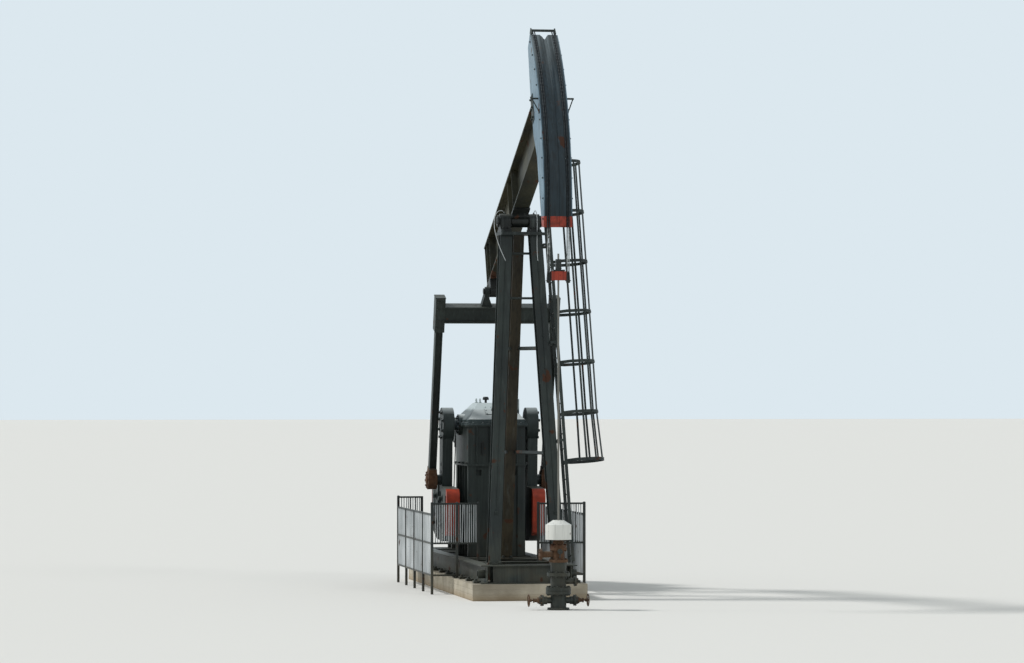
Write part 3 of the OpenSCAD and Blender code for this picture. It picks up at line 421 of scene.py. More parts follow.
# Gusset plates under the cap, and the bolts that hold it on the legs
cap_low, cap_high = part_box("samson_cap")
gussets = []
for side in (-1, 1):
    for x in (0.02, 0.22):
        gussets.append(plate((x - 0.008, side * 0.19, cap_low.z - 0.16), (x + 0.008, side * 0.40, cap_low.z)))
fit_out(gussets, "cap_gussets", "frame", olive)
bolts("cap_bolts", "frame", 0.05, [((x, side * 0.375, cap_high.z), (0, 0, 1)) for x in (-0.29, 0.29)
    for side in (-1, 1)])

# Saddle bearings: two cast pillow blocks on the cap, each held by four bolts and closed by a
# bolted end cover; grease has crept out and holds the dust.
joints = {joint["name"]: joint for joint in frame["joints"]}
bearing_at = Vector(joints["beam_rock"]["pos_m"])
# Painted cast iron under old grease: darker than the steel, with a wet gleam
iron = enamelled_steel("greased_cast_iron", "#191c1b", "#2d3230", rust=0.3, streaks=0.8, roughness=0.42)
finish_solids(iron, "bearing_iron", "center_bearings", "saddle", "tail_bearing")
bearing_low, bearing_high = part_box("center_bearings")
flange_top = bearing_low.z + 0.055
block_spots = [((x, side * y, flange_top), (0, 0, 1)) for x in (-0.192, 0.192) for side in (-1, 1)
    for y in (0.235, 0.355)]
bolts("saddle_bearing_bolts", "frame", 0.05, block_spots, material=iron)
bearing_face = bearing_high.y + 0.018


def bolt_ring(point, axis_y, radius, count):
    """Spots of bolts on a circle round an axis along Y; axis_y is 1 or -1."""
    turns = [2 * math.pi * (i + 0.5) / count for i in range(count)]
    return [((point[0] + radius * math.cos(a), point[1], point[2] + radius * math.sin(a)), (0, axis_y, 0))
        for a in turns]


cover_rings = [(0.24, 0), (0.24, 0.03), (0.21, 0.036), (0.09, 0.036), (0.08, 0.05)]
fit_out([turned((0, side * bearing_face, bearing_at.z), (0, side, 0), cover_rings) for side in (-1, 1)],
    "saddle_bearing_covers", "frame", iron)
cover_spots = [spot for side in (-1, 1)
    for spot in bolt_ring((0, side * (bearing_face + 0.033), bearing_at.z), side, 0.094, 6)]
bolts("saddle_cover_bolts", "frame", 0.02, cover_spots, material=iron)

# Gearbox on its pedestal: a welded pedestal with hand holes up its front, a cast housing split at
# the crankshaft, and a sloped cover bolted down along the split and round each bearing.
finish_solids(olive, "green_paint", "gearbox_pedestal", "gearbox_housing")
# Enamel in full sun: blue grey, with pale dust and painted sunlight on every face that looks up
hood = enamelled_steel("hood_enamel", "#2c3637", "#4f5b5c", rust=0.35, streaks=0.5, dust=1.0,
    top_dust_and_sun_tone="#e2e8e6")
tree = hood.node_tree
shader = tree.nodes["Principled BSDF"]
worn = shader.inputs["Base Color"].links[0].from_socket
place = add_node(tree, "ShaderNodeTexCoord").outputs["Object"]
height = add_node(tree, "ShaderNodeSeparateXYZ", {"Vector": place}).outputs["Z"]
# A painted sun highlight lies on the top 150 mm of the cover, its lower edge broken in clouds of 180 mm
cloud = add_node(tree, "ShaderNodeTexNoise", {"Vector": place, "Scale": 1000 / 180, "Detail": 4.0})
uneven = add_node(tree, "ShaderNodeMath", {0: cloud, 1: 0.12, 2: height}, operation="MULTIPLY_ADD")
painted_highlight_part = add_node(tree, "ShaderNodeMapRange", {"Value": uneven, "From Min": 3.79, "From Max": 3.84,
    "To Max": 0.75})
painted_highlight_top = add_node(tree, "ShaderNodeMixRGB", {"Fac": painted_highlight_part, "Color1": worn, "Color2": linear("#b9c4c4")})
tree.links.new(painted_highlight_top.outputs[0], shader.inputs["Base Color"])
finish_solids(hood, "green_paint", "gearbox_cover")
crank_centre = Vector(joints["crank_turn"]["pos_m"])
box_low, box_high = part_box("gearbox_housing")
boss_y, split_y, split_front = box_high.y, box_high.y - 0.015, box_high.x
shaft_cap_spots = [spot for side in (-1, 1)
    for spot in bolt_ring((crank_centre.x, side * boss_y, crank_centre.z), side, 0.166, 10)]
bolts("crankshaft_cap_bolts", "frame", 0.036, shaft_cap_spots, material=hood)
split_bolt_y, split_top = split_y - 0.022, crank_centre.z + 0.03
side_xs = [crank_centre.x + offset for offset in (-0.58, -0.42, -0.3, 0.3, 0.45, 0.6, 0.75, 0.9, 1.03)]
split_spots = [((x, side * split_bolt_y, split_top), (0, 0, 1)) for side in (-1, 1) for x in side_xs]
split_spots += [((split_front - 0.022, y, split_top), (0, 0, 1)) for y in (-0.5, -0.3, -0.1, 0.1, 0.3, 0.5)]
bolts("gearbox_split_bolts", "frame", 0.03, split_spots, material=hood)
hood_top = crank_centre.z + 0.46
slope_low = Vector((crank_centre.x + 1.08, 0, crank_centre.z + 0.12))
slope_high = Vector((crank_centre.x + 0.42, 0, hood_top))
slope_up = (slope_high - slope_low).normalized()
slope_out = Vector((slope_up.z, 0, -slope_up.x))
slope_turn = Matrix(((slope_up.x, 0, slope_out.x, 0), (0, 1, 0, 0), (slope_up.z, 0, slope_out.z, 0),
    (0, 0, 0, 1)))
on_slope = Matrix.Translation((slope_low + slope_high) / 2) @ slope_turn


def round_bar(start, end, diameter, sides=12, edge=0.0):
    """A round bar from one point to another."""
    start, end = Vector(start), Vector(end)
    deselect()
    bpy.ops.mesh.primitive_cylinder_add(vertices=sides, radius=diameter / 2, depth=(end - start).length,
        location=(0, 0, (end - start).length / 2))
    piece = bpy.context.object
    settle(piece)
    if edge:
        round_edges(piece, edge)
    return placed(piece, standing(start, end - start))


lid = plate((-0.17, -0.2, 0), (0.17, 0.2, 0.014))
handle = [round_bar((0.0, y, 0.01), (0.0, y, 0.06), 0.014) for y in (-0.06, 0.06)]
handle.append(round_bar((0.0, -0.067, 0.06), (0.0, 0.067, 0.06), 0.014))
for part in [lid] + handle:
    placed(part, on_slope)
fit_out([lid] + handle, "inspection_lid", "frame", hood)
lid_spots = [((x, y, 0.014), (0, 0, 1)) for x in (-0.145, 0, 0.145) for y in (-0.175, 0.175)]
lid_spots += [((x, y, 0.014), (0, 0, 1)) for x in (-0.145, 0.145) for y in (-0.06, 0.06)]
bolts("inspection_lid_bolts", "frame", 0.019, lid_spots, on_slope, hood)
deselect()
bpy.ops.mesh.primitive_torus_add(major_radius=0.045, minor_radius=0.013, major_segments=20,
    minor_segments=8, location=(0, 0, 0.04), rotation=(math.pi / 2, 0, 0))
lifting_eye = bpy.context.object
settle(lifting_eye)
eye_spots = [(crank_centre.x + dx, side * 0.24, hood_top) for dx in (-0.17, 0.34) for side in (-1, 1)]
collar = turned((0, 0, 0), (0, 0, 1), [(0.07, 0), (0.07, 0.012), (0.045, 0.02), (0.03, 0.03)], 16)
eyes = copies(lifting_eye, [Matrix.Translation(spot) for spot in eye_spots])
eyes += copies(collar, [Matrix.Translation(spot) for spot in eye_spots])
fit_out(eyes, "lifting_eyes", "frame", hood)
breather = turned((crank_centre.x + 0.1, -0.08, hood_top), (0, 0, 1),
    [(0.05, 0), (0.05, 0.06), (0.13, 0.06), (0.13, 0.1), (0.1, 0.125), (0.04, 0.13)])
fit_out([breather], "breather_cap", "frame", iron)
# Ribs down the housing's front and a drain with its plug
rib_x = split_front - 0.046
ribs = [plate((rib_x, y - 0.011, box_low.z + 0.03), (rib_x + 0.06, y + 0.011, crank_centre.z - 0.03))
    for y in (-0.42, -0.14, 0.14, 0.42)]
fit_out(ribs, "housing_ribs", "frame", olive)
drain_rings = [(0.09, 0), (0.09, 0.03), (0.06, 0.03), (0.06, 0.055)]
drain = turned((split_front - 0.047, 0.3, box_low.z + 0.09), (1, 0, 0), drain_rings, 12)
fit_out([drain], "drain_plug", "frame", iron)
# A sight tube on a back plate shows the oil's level
tube_x, tube_z = split_front - 0.02, crank_centre.z - 0.49
back_plate = plate((tube_x - 0.03, -0.33, tube_z - 0.13), (tube_x - 0.008, -0.27, tube_z + 0.13), 0.004)
sight_tube = round_bar((tube_x, -0.3, tube_z - 0.11), (tube_x, -0.3, tube_z + 0.11), 0.022, 10)
fit_out([back_plate, sight_tube], "oil_gauge", "frame", iron)
pedestal_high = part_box("gearbox_pedestal")[1]
box_foot_xs = [crank_centre.x + offset for offset in (-0.55, 0, 0.5, 1.0)]
box_foot_spots = [((x, side * (box_high.y - 0.03), pedestal_high.z), (0, 0, 1)) for side in (-1, 1)
    for x in box_foot_xs]
bolts("gearbox_foot_bolts", "frame", 0.04, box_foot_spots)
# Flat stiffeners welded up the pedestal's sides
stiffeners = [plate((x - 0.008, side * (pedestal_high.y - 0.085), skid_top),
    (x + 0.008, side * (pedestal_high.y - 0.03), pedestal_high.z - 0.04)) for side in (-1, 1)
    for x in (crank_centre.x - 0.2, crank_centre.x + 0.15, crank_centre.x + 0.5)]
fit_out(stiffeners, "pedestal_stiffeners", "frame", olive)

# Belt drive: an iron sheave on the input shaft, a small one on the motor, rubber belts between
# them in a bolted sheet guard, and a brake drum with its steel band on the far end of the shaft.
finish_solids(iron, "bearing_iron", "gearbox_sheave", "brake_drum", "motor_sheave")
rubber = bpy.data.materials.new("moulded_rubber")
rubber.use_nodes = True
tree = rubber.node_tree
shader = tree.nodes["Principled BSDF"]
# Moulded rubber is near black and dull, and dust greys it in patches 90 mm across
shader.inputs["Roughness"].default_value = 0.82
place = add_node(tree, "ShaderNodeTexCoord").outputs["Object"]
bloom = add_node(tree, "ShaderNodeTexNoise", {"Vector": place, "Scale": 1000 / 90, "Detail": 4.0})
grey_part = add_node(tree, "ShaderNodeMapRange", {"Value": bloom, "From Min": 0.4, "From Max": 0.7,
    "To Max": 0.6})
dusted = add_node(tree, "ShaderNodeMixRGB", {"Fac": grey_part, "Color1": linear("#161615"),
    "Color2": linear("#33312d")})
tree.links.new(dusted.outputs[0], shader.inputs["Base Color"])
# Five belts lie side by side, 30 mm apart across the drive
ribbing = add_node(tree, "ShaderNodeTexWave", {"Vector": place, "Scale": math.pi / (10 * 0.030)},
    bands_direction="Y")
bump = add_node(tree, "ShaderNodeBump", {"Height": ribbing, "Distance": 0.008, "Strength": 1.0})
tree.links.new(bump.outputs[0], shader.inputs["Normal"])
finish_solids(rubber, "rubber_belt", "drive_belt")
finish_solids(olive, "green_paint", "belt_guard")
guard_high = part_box("belt_guard")[1]
sheave_low, sheave_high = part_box("gearbox_sheave")
motor_low, motor_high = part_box("motor_sheave")
input_at = (sheave_low + sheave_high) / 2
motor_at = (motor_low + motor_high) / 2
face_y = guard_high.y
run = Vector((motor_at.x - input_at.x, 0, motor_at.z - input_at.z))
run_turn = math.atan2(run.z, run.x)
wide_r, narrow_r, rim_out = 0.525, 0.15, 0.03
open_turn = math.acos((wide_r - narrow_r) / run.length)
# Flat stiffeners across the guard's outer sheet, a round window flange and bolts round its rim
straps = []
for part in (0.12, 0.5, 0.86):
    middle = input_at + run * part
    half = (wide_r + rim_out - (wide_r - narrow_r) * part) * 0.94
    across = Vector((-math.sin(run_turn), 0, math.cos(run_turn)))
    strap = plate((-half, 0, -0.02), (half, 0.012, 0.02))
    straps.append(placed(strap, Matrix.Translation((middle.x, face_y, middle.z))
        @ Matrix.Rotation(-math.atan2(across.z, across.x), 4, "Y")))
window_rings = [(0.34, 0), (0.34, 0.012), (0.3, 0.012), (0.3, 0.003)]
straps.append(turned((input_at.x, face_y, input_at.z), (0, 1, 0), window_rings))
fit_out(straps, "belt_guard_stiffeners", "frame", olive)
rim_spots = []
wide_rim = (input_at, wide_r + rim_out, open_turn, 2 * math.pi - 2 * open_turn, 13)
narrow_rim = (motor_at, narrow_r + rim_out, -open_turn, 2 * open_turn, 5)
for centre, rim_r, first, sweep, count in (wide_rim, narrow_rim):
    for i in range(count):
        turn = run_turn + first + sweep * i / (count - 1)
        spot = (centre.x + rim_r * math.cos(turn), face_y, centre.z + rim_r * math.sin(turn))
        rim_spots.append((spot, (0, 1, 0)))
bolts("belt_guard_bolts", "frame", 0.016, rim_spots)


def sheet_ring(radius, tall, thickness, at):
    """A ring of bent sheet round the Z axis of a place in a frame, its middle at that place."""
    deselect()
    bpy.ops.mesh.primitive_cylinder_add(vertices=48, radius=radius, depth=tall, end_fill_type="NOTHING",
        location=(0, 0, 0))
    ring = bpy.context.object
    settle(ring)
    wall = ring.modifiers.new("wall", "SOLIDIFY")
    wall.thickness = thickness
    bpy.ops.object.modifier_apply(modifier=wall.name)
    return placed(ring, at)


# The band grips the drum, two lugs draw it together, and a rod runs down from them to the skid
drum_y, lug_z = -0.495, input_at.z - 0.32
brake_parts = [sheet_ring(0.275, 0.09, 0.012, standing((input_at.x, drum_y, input_at.z), (0, 1, 0)))]
for lug_x in (input_at.x - 0.04, input_at.x + 0.04):
    brake_parts.append(plate((lug_x - 0.01, drum_y - 0.04, input_at.z - 0.36),
        (lug_x + 0.01, drum_y + 0.04, input_at.z - 0.265)))
brake_parts.append(round_bar((input_at.x - 0.1, drum_y, lug_z), (input_at.x + 0.1, drum_y, lug_z), 0.02))
brake_parts.append(round_bar((input_at.x, drum_y - 0.02, lug_z),
    (input_at.x - 0.4, drum_y - 0.02, skid_top + 0.7), 0.022))
fit_out(brake_parts, "brake_band", "frame", iron)
hub_rings = [(0.3, -0.03), (0.3, 0.012), (0.22, 0.012), (0.2, -0.005), (0.12, -0.005), (0.11, 0.02)]
fit_out([turned((input_at.x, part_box("brake_drum")[0].y + 0.02, input_at.z), (0, -1, 0), hub_rings)],
    "brake_hub", "frame", iron)

# Motor: a foot-mounted electric motor, its cast shell finned along its length, with a dished
# fan cowl at the back, a bolted end bell in front and a terminal box on top.
finish_solids(olive, "green_paint", "motor_base")
# Stoved enamel on cast iron: bluer, smoother and less worn than the skid round it
motor_enamel = enamelled_steel("motor_enamel", "#333d42", "#515c62", rust=0.2, streaks=0.3)
finish_solids(motor_enamel, "motor_paint", "motor")
shell_back, shell_front, shell_r = -0.32, 0.40, 0.23
fin = plate((-0.004, shell_back + 0.11, 0), (0.004, shell_front - 0.1, 0.032), 0.001)
fin_turns = [math.radians(a) for a in range(-120, 121, 8) if abs(a) > 16]
fins = copies(fin, [Matrix.Translation((motor_at.x, 0, motor_at.z)) @ Matrix.Rotation(a, 4, "Y")
    @ Matrix.Translation((0, 0, shell_r - 0.006)) for a in fin_turns])
fins.append(turned((motor_at.x, shell_back + 0.09, motor_at.z), (0, -1, 0),
    [(0.5, 0), (0.5, 0.1), (0.46, 0.13), (0.3, 0.135), (0.28, 0.12), (0.05, 0.12)], 32))
fins.append(turned((motor_at.x, shell_front - 0.08, motor_at.z), (0, 1, 0),
    [(0.48, 0), (0.48, 0.03), (0.44, 0.09), (0.22, 0.1), (0.18, 0.13)], 32))
box_lid, box_top = motor_at.z + 0.34, motor_at.z + 0.355
fins.append(plate((motor_at.x - 0.13, -0.05, motor_at.z + 0.2), (motor_at.x + 0.13, 0.2, box_lid), 0.012))
fins.append(plate((motor_at.x - 0.14, -0.06, box_lid), (motor_at.x + 0.14, 0.21, box_top), 0.005))
fins += copies(lifting_eye, [Matrix.Translation((motor_at.x, -0.14, motor_at.z + 0.22))])
fit_out(fins, "motor_shell", "frame", motor_enamel)
motor_bolt_spots = [((motor_at.x + dx, y, motor_at.z - 0.17), (0, 0, 1)) for dx in (-0.145, 0.145)
    for y in (-0.2, 0.25)]
motor_bolt_spots += [((motor_at.x + dx, y, box_top), (0, 0, 1)) for dx in (-0.115, 0.115)
    for y in (-0.035, 0.185)]
bolts("motor_bolts", "frame", 0.024, motor_bolt_spots, material=motor_enamel)
fit_out([round_bar((motor_at.x + 0.38, y, motor_at.z - 0.26), (motor_at.x + 0.56, y, motor_at.z - 0.26),
    0.03, 12, 0.003) for y in (-0.25, 0.28)], "slide_screws", "frame", iron)

# Ladder with its safety cage: flat rails, round rungs, and flat hoops and straps held together by
# small bolts, on the right leg and past it to the height of the beam.
finish_solids(olive, "green_paint", "ladder", "cage_hoops", "cage_straps")
leg_foot, leg_head = Vector((0.8, 0.65, 0.73)), Vector((0.12, 0.30, 7.27))
leg_run = (leg_head - leg_foot) / (leg_head.z - leg_foot.z)
leg_turn = math.atan2(leg_run.y, leg_run.x)
ladder_start = leg_foot + leg_run * (skid_top - leg_foot.z)
on_ladder = (Matrix.Translation(ladder_start) @ Matrix.Rotation(leg_turn, 4, "Z")
    @ Matrix.Rotation(math.acos(1 / leg_run.length), 4, "Y") @ Matrix.Rotation(-leg_turn, 4, "Z"))
ladder_top, ladder_out, cage_reach, hoop_r, hoop_pitch = 8.76, 0.27, 0.75, 0.36, 1.01
ladder_len = (ladder_top - skid_top) * leg_run.length
hoop_centre_y = ladder_out + cage_reach - hoop_r
cage_spots = []
for i in range(7):
    hoop_z = ladder_len - 0.04 - hoop_pitch * (5.95 if i == 6 else i) - 0.03
    # The lowest hoop is flared, for a climber to step in
    flare = 1.14 if i == 6 else 1.0
    for a in range(0, 181, 30):
        # The flared hoop has none at its outermost point, which is the widest of the whole unit
        if i == 6 and a == 90:
            continue
        spoke = Vector((math.cos(math.radians(a)), math.sin(math.radians(a)), 0))
        cage_spots.append((Vector((0, hoop_centre_y, hoop_z)) + spoke * (hoop_r * flare + 0.005), spoke))
bolts("cage_bolts", "frame", 0.014, cage_spots, on_ladder)

# Guard round the cranks: square posts and rails in dark paint, and panels of light galvanised
# wires upright between the bars, some of them bent by years of use.
side_low, side_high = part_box("guard_right")
front_low, front_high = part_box("guard_front")
rear_low, rear_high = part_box("guard_rear_panels")
# Brushed enamel on square tube: dark, even, and chipped where it is handled
guard_metal = enamelled_steel("guard_enamel", "#232827", "#3c4240", rust=0.5, streaks=0.3)
finish_solids(guard_metal, "guard_steel", "guard_left", "guard_right", "guard_front", "guard_rear_panels")
# Hot dip galvanised wire: pale grey and dull, so the panels read as a light screen
zinc = enamelled_steel("galvanised_wire", "#b4b9ba", "#dde1e2", rust=0.3, streaks=0.5, dust=0.15,
    roughness=0.6)
panel_y = side_high.y - 0.025
wire_gap, wire_d = 0.046, 0.021


def panel_wires(start, end, low, high):
    """Upright wires of one panel from start to end: four-sided rods, a few of them bent out of line."""
    start, end = Vector(start), Vector(end)
    count = int((end - start).length / wire_gap)
    along = (end - start).normalized()
    rods = []
    for i in range(1, count):
        foot = start + (end - start) * i / count
        lean = along * (0.03 if i % 19 == 7 else 0.003) * math.sin(2.3 * i)
        rods.append(round_bar(foot + Vector((0, 0, low)) - lean, foot + Vector((0, 0, high)) + lean,
            wire_d, 4))
    return rods


front_x, rear_x = (front_low.x + front_high.x) / 2, (rear_low.x + rear_high.x) / 2
gate_y, post_y = 0.62, 1.06
side_span, end_span = (0.38, 1.63), (1.03, 1.85)
wires = []
for side in (-1, 1):
    wires += panel_wires((side_low.x, side * panel_y, 0), (side_high.x, side * panel_y, 0), *side_span)
    for panel_x, inner_y in ((front_x, gate_y), (rear_x, post_y)):
        wires += panel_wires((panel_x, side * inner_y, 0), (panel_x, side * (panel_y - 0.025), 0), *end_span)
fit_out(wires, "guard_wires", "frame", zinc)
post_spots = []
for x, y in ((front_x, gate_y), (front_x, post_y), (rear_x, post_y)):
    post_spots += [((x + dx, side * y + dy, base_top + 0.012), (0, 0, 1)) for side in (-1, 1)
        for dx in (-0.05, 0.05) for dy in (-0.05, 0.05)]
bolts("guard_post_bolts", "frame", 0.018, post_spots, material=guard_metal)
post_cap = turned((0, 0, 0), (0, 0, 1), [(0.068, 0), (0.068, 0.004), (0.045, 0.016), (0.01, 0.018)], 4)
placed(post_cap, Matrix.Rotation(math.radians(45), 4, "Z"))
cap_spots = [(x, side * panel_y, side_high.z) for x in (side_low.x + 0.025, side_high.x - 0.025)
    for side in (-1, 1)]
cap_spots += [(front_x, side * y, side_high.z) for y in (gate_y, post_y) for side in (-1, 1)]
fit_out(copies(post_cap, [Matrix.Translation(spot) for spot in cap_spots]), "guard_post_caps", "frame",
    guard_metal)

# Grease hoses: pale thin hoses that loop clear of the beam from the saddle bearings, and go on as
# tubes clipped to the front legs, down to nipples that are reached from the ground.
def hose(points, diameter):
    """A hose along a smooth curve that five points steer, turned into a mesh."""
    deselect()
    bpy.ops.curve.primitive_nurbs_path_add()
    path = bpy.context.object
    for control, at in zip(path.data.splines[0].points, points):
        control.co = (*at, 1.0)
    path.data.bevel_depth = diameter / 2
    path.data.bevel_resolution = 2
    path.data.splines[0].resolution_u = 12
    bpy.ops.object.convert(target="MESH")
    return bpy.context.object


def on_leg(side, z, out=0.0):
    """A point at a height on the front flange of a front leg, or a little out from it."""
    middle = leg_foot.lerp(leg_head, (z - leg_foot.z) / (leg_head.z - leg_foot.z))
    return Vector((middle.x + flange_out + out, side * middle.y, z))


flange_out = 0.137
tube_top, tube_foot, tube_out = 6.75, 1.75, 0.008
union_rings = [(0.045, 0), (0.045, 0.03), (0.024, 0.03), (0.024, 0.05)]
nipple_rings = [(0.02, 0), (0.02, 0.012), (0.009, 0.012), (0.009, 0.026), (0.013, 0.03)]
for side, side_name in ((-1, "left"), (1, "right")):
    top = bearing_high.z - 0.01
    loop_y = 0.72 if side < 0 else 0.42
    course = [(0, side * 0.295, top), (0.02, side * 0.31, top + 0.17), (0.1, side * loop_y, top + 0.12),
        (0.36, side * (loop_y - 0.16), 7.2), on_leg(side, tube_top, tube_out)]
    fit_out([hose(course, 0.014)], "grease_hose_" + side_name, "frame", zinc)
    lines = [round_bar(on_leg(side, tube_top + 0.03, tube_out), on_leg(side, tube_foot, tube_out), 0.012, 8)]
    lines.append(turned((0, side * 0.295, top - 0.01), (0, 0, 1), union_rings, 6))
    for i in range(8):
        clip = on_leg(side, 2.0 + 0.65 * i)
        lines.append(plate(clip - Vector((0.002, 0.022, 0.009)), clip + Vector((0.017, 0.022, 0.009)), 0.003))
    nipple = on_leg(side, tube_foot - 0.03)
    lines.append(plate(nipple - Vector((0.003, 0.03, 0.035)), nipple + Vector((0.024, 0.03, 0.035)), 0.004))
    lines += [turned(nipple + Vector((0.02, dy, 0)), (1, 0, 0), nipple_rings, 8) for dy in (-0.015, 0.015)]
    fit_out(lines, "grease_tube_" + side_name, "frame", olive)

# Well head: a forged casing head with two side valves, a tee and stuffing box gone rusty, flanged
# and bolted together, and a white pot that catches the oil round the polished rod.
finish_solids(olive, "green_paint", "casing_head")
# Cast iron that has lost its paint: brown in two tones, and quite without gloss
rust_brown = enamelled_steel("rusted_cast_iron", "#432c1e", "#63452f", rust=0.9, streaks=0.6, roughness=0.82)
finish_solids(rust_brown, "rusty_iron", "flow_tee", "stuffing_box")
# White enamel on sheet steel: the palest and glossiest face of the whole unit
pot_enamel = enamelled_steel("white_enamel", "#d4d4cd", "#dedfd9", rust=0.05, streaks=0.3, dust=0.25,
    roughness=0.4)
finish_solids(pot_enamel, "pot_white", "oil_pot")
well_x, valve_z = 4.572, 0.18


def flange_spots(ring_d, count, z, up):
    """Spots of bolts round a flange of the well, on its upper or its lower face."""
    return [((well_x + ring_d / 2 * math.cos(a), ring_d / 2 * math.sin(a), z), (0, 0, up))
        for a in (2 * math.pi * (i + 0.5) / count for i in range(count))]


head_spots = flange_spots(0.41, 12, 0.425, 1) + flange_spots(0.41, 12, 0.30, -1)
head_spots += flange_spots(0.375, 8, 0.70, 1) + flange_spots(0.375, 8, 0.64, -1)
bolts("casing_head_bolts", "frame", 0.034, head_spots)
tee_spots = flange_spots(0.31, 8, 0.95, 1) + flange_spots(0.27, 8, 1.225, 1)
tee_spots += flange_spots(0.275, 8, 1.13, -1)
bolts("tee_bolts", "frame", 0.028, tee_spots, material=rust_brown)
outlet_spots = [spot for side in (-1, 1) for spot in bolt_ring((well_x, side * 0.33, valve_z), side, 0.09, 6)]
outlet_spots += bolt_ring((well_x, 0.34, 0.54), 1, 0.075, 6) + bolt_ring((well_x, -0.365, 1.05), -1, 0.088, 6)
bolts("outlet_bolts", "frame", 0.022, outlet_spots, material=rust_brown)
bonnet_rings = [(0.125, 0), (0.125, 0.03), (0.08, 0.04), (0.062, 0.09), (0.09, 0.095), (0.09, 0.115),
    (0.03, 0.12), (0.03, 0.17)]
wheel_hub_rings = [(0.06, 0), (0.06, 0.03), (0.045, 0.04), (0.045, 0.065), (0.02, 0.07)]
wheels = []
for side in (-1, 1):
    hub = Vector((well_x, side * 0.52, valve_z))
    rim_at = hub + Vector((0, side * 0.05, 0))
    deselect()
    bpy.ops.mesh.primitive_torus_add(major_radius=0.11, minor_radius=0.011, major_segments=28,
        minor_segments=8)
    rim = bpy.context.object
    settle(rim)
    wheels.append(placed(rim, standing(rim_at, (0, side, 0))))
    wheels.append(turned((well_x, side * 0.368, valve_z), (0, side, 0), bonnet_rings, 16))
    wheels.append(turned(hub - Vector((0, side * 0.005, 0)), (0, side, 0), wheel_hub_rings, 16))
    for a in (0.3, 0.3 + 2 * math.pi / 3, 0.3 + 4 * math.pi / 3):
        spoke = Vector((0.105 * math.cos(a), 0, 0.105 * math.sin(a)))
        wheels.append(round_bar(rim_at, rim_at + spoke, 0.014, 8))
fit_out(wheels, "valve_handwheels", "frame", rust_brown)
dial_rings = [(0.1, 0), (0.1, 0.03), (0.086, 0.034), (0.08, 0.026), (0.01, 0.026)]
gauge = [round_bar((well_x + 0.1, 0, 1.0), (well_x + 0.2, 0, 1.0), 0.022, 10),
    round_bar((well_x + 0.19, 0, 0.995), (well_x + 0.19, 0, 1.06), 0.02, 10),
    turned((well_x + 0.175, 0, 1.11), (1, 0, 0), dial_rings, 20)]
fit_out(gauge, "pressure_gauge", "frame", iron)
gland = [turned((well_x, 0, 1.225), (0, 0, 1), [(0.2, 0), (0.22, 0.02), (0.22, 0.06), (0.2, 0.075)], 8)]
fit_out(gland, "stuffing_gland", "frame", rust_brown)
pot_low, pot_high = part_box("oil_pot")
band_r = 0.2462
bands = []
for z, tall in ((pot_low.z, 0.02), (pot_low.z + 0.13, 0.012), (pot_high.z - 0.1, 0.014)):
    bands.append(sheet_ring(band_r, tall, 0.01, Matrix.Translation((well_x, 0, z + tall / 2))))
    round_edges(bands[-1], 0.002)
lid_rings = [(0.21, 0), (0.21, 0.006), (0.12, 0.006), (0.115, -0.004), (0.06, -0.004)]
lid_ring = turned((well_x, 0, pot_high.z - 0.006), (0, 0, 1), lid_rings, 32)
fit_out(bands + [lid_ring], "oil_pot_bands", "frame", pot_enamel)

# Walking beam: one rolled beam with web stiffeners, bolted to the saddle and to the equalizer
# bearing, its flanges chalked pale on top and brown with oil and dust below.
tail_at = Vector(joints["pitman_swing"]["pos_m"])
tail_reach, tail_drop = 3.05, 0.15
tail_arm = bearing_at - tail_at
beam_tilt = math.atan2(tail_arm.z, tail_arm.x) - math.atan2(tail_drop, tail_reach)
on_beam = Matrix.Translation(bearing_at) @ Matrix.Rotation(-beam_tilt, 4, "Y")
# Olive enamel soaked with oil: a warmer brown green than the post below it
beam_enamel = enamelled_steel("oiled_olive_enamel", "#24261f", "#45422f", rust=0.45, streaks=0.6)
finish_solids(beam_enamel, "green_paint", "walking_beam")
finish_solids(olive, "green_paint", "wireline_hanger", "head_cross_bar")
beam_seat, flange, beam_top = 0.12, 0.034, 1.04
saddle_spots = [((x, y, beam_seat + flange), (0, 0, 1)) for x in (-0.35, -0.17, 0.17, 0.35)
    for y in (-0.105, 0.105)]
tail_spots = [((x - tail_reach, y, beam_seat + flange), (0, 0, 1)) for x in (-0.15, 0.15)
    for y in (-0.105, 0.105)]
nose_spots = [((x, y, beam_top + 0.03), (0, 0, 1)) for x in (3.73, 3.84) for y in (-0.11, 0.11)]
bolts("beam_bolts", "beam", 0.055, saddle_spots + tail_spots, on_beam, beam_enamel)
bolts("head_hinge_bolts", "beam", 0.05, nose_spots, on_beam)
beam_eyes = []
for x in (-1.7, 1.9):
    at = on_beam @ Matrix.Translation((x, 0, beam_top - 0.002)) @ Matrix.Scale(1.9, 4)
    beam_eyes += copies(lifting_eye, [at]) + copies(collar, [at])
fit_out(beam_eyes, "beam_lifting_eyes", "beam", beam_enamel)
# Weld beads along the stiffeners, where web meets plate
beads = []
for x in (-3.44, -2.87, -3.23, -0.26, 0.26, 3.63):
    for side in (-1, 1):
        for dx in (-0.011, 0.011):
            low, high = ((x + dx, side * 0.012, z) for z in (beam_seat + 0.04, beam_top - 0.04))
            beads.append(placed(round_bar(low, high, 0.012, 6), on_beam))
fit_out(beads, "stiffener_welds", "beam", beam_enamel)


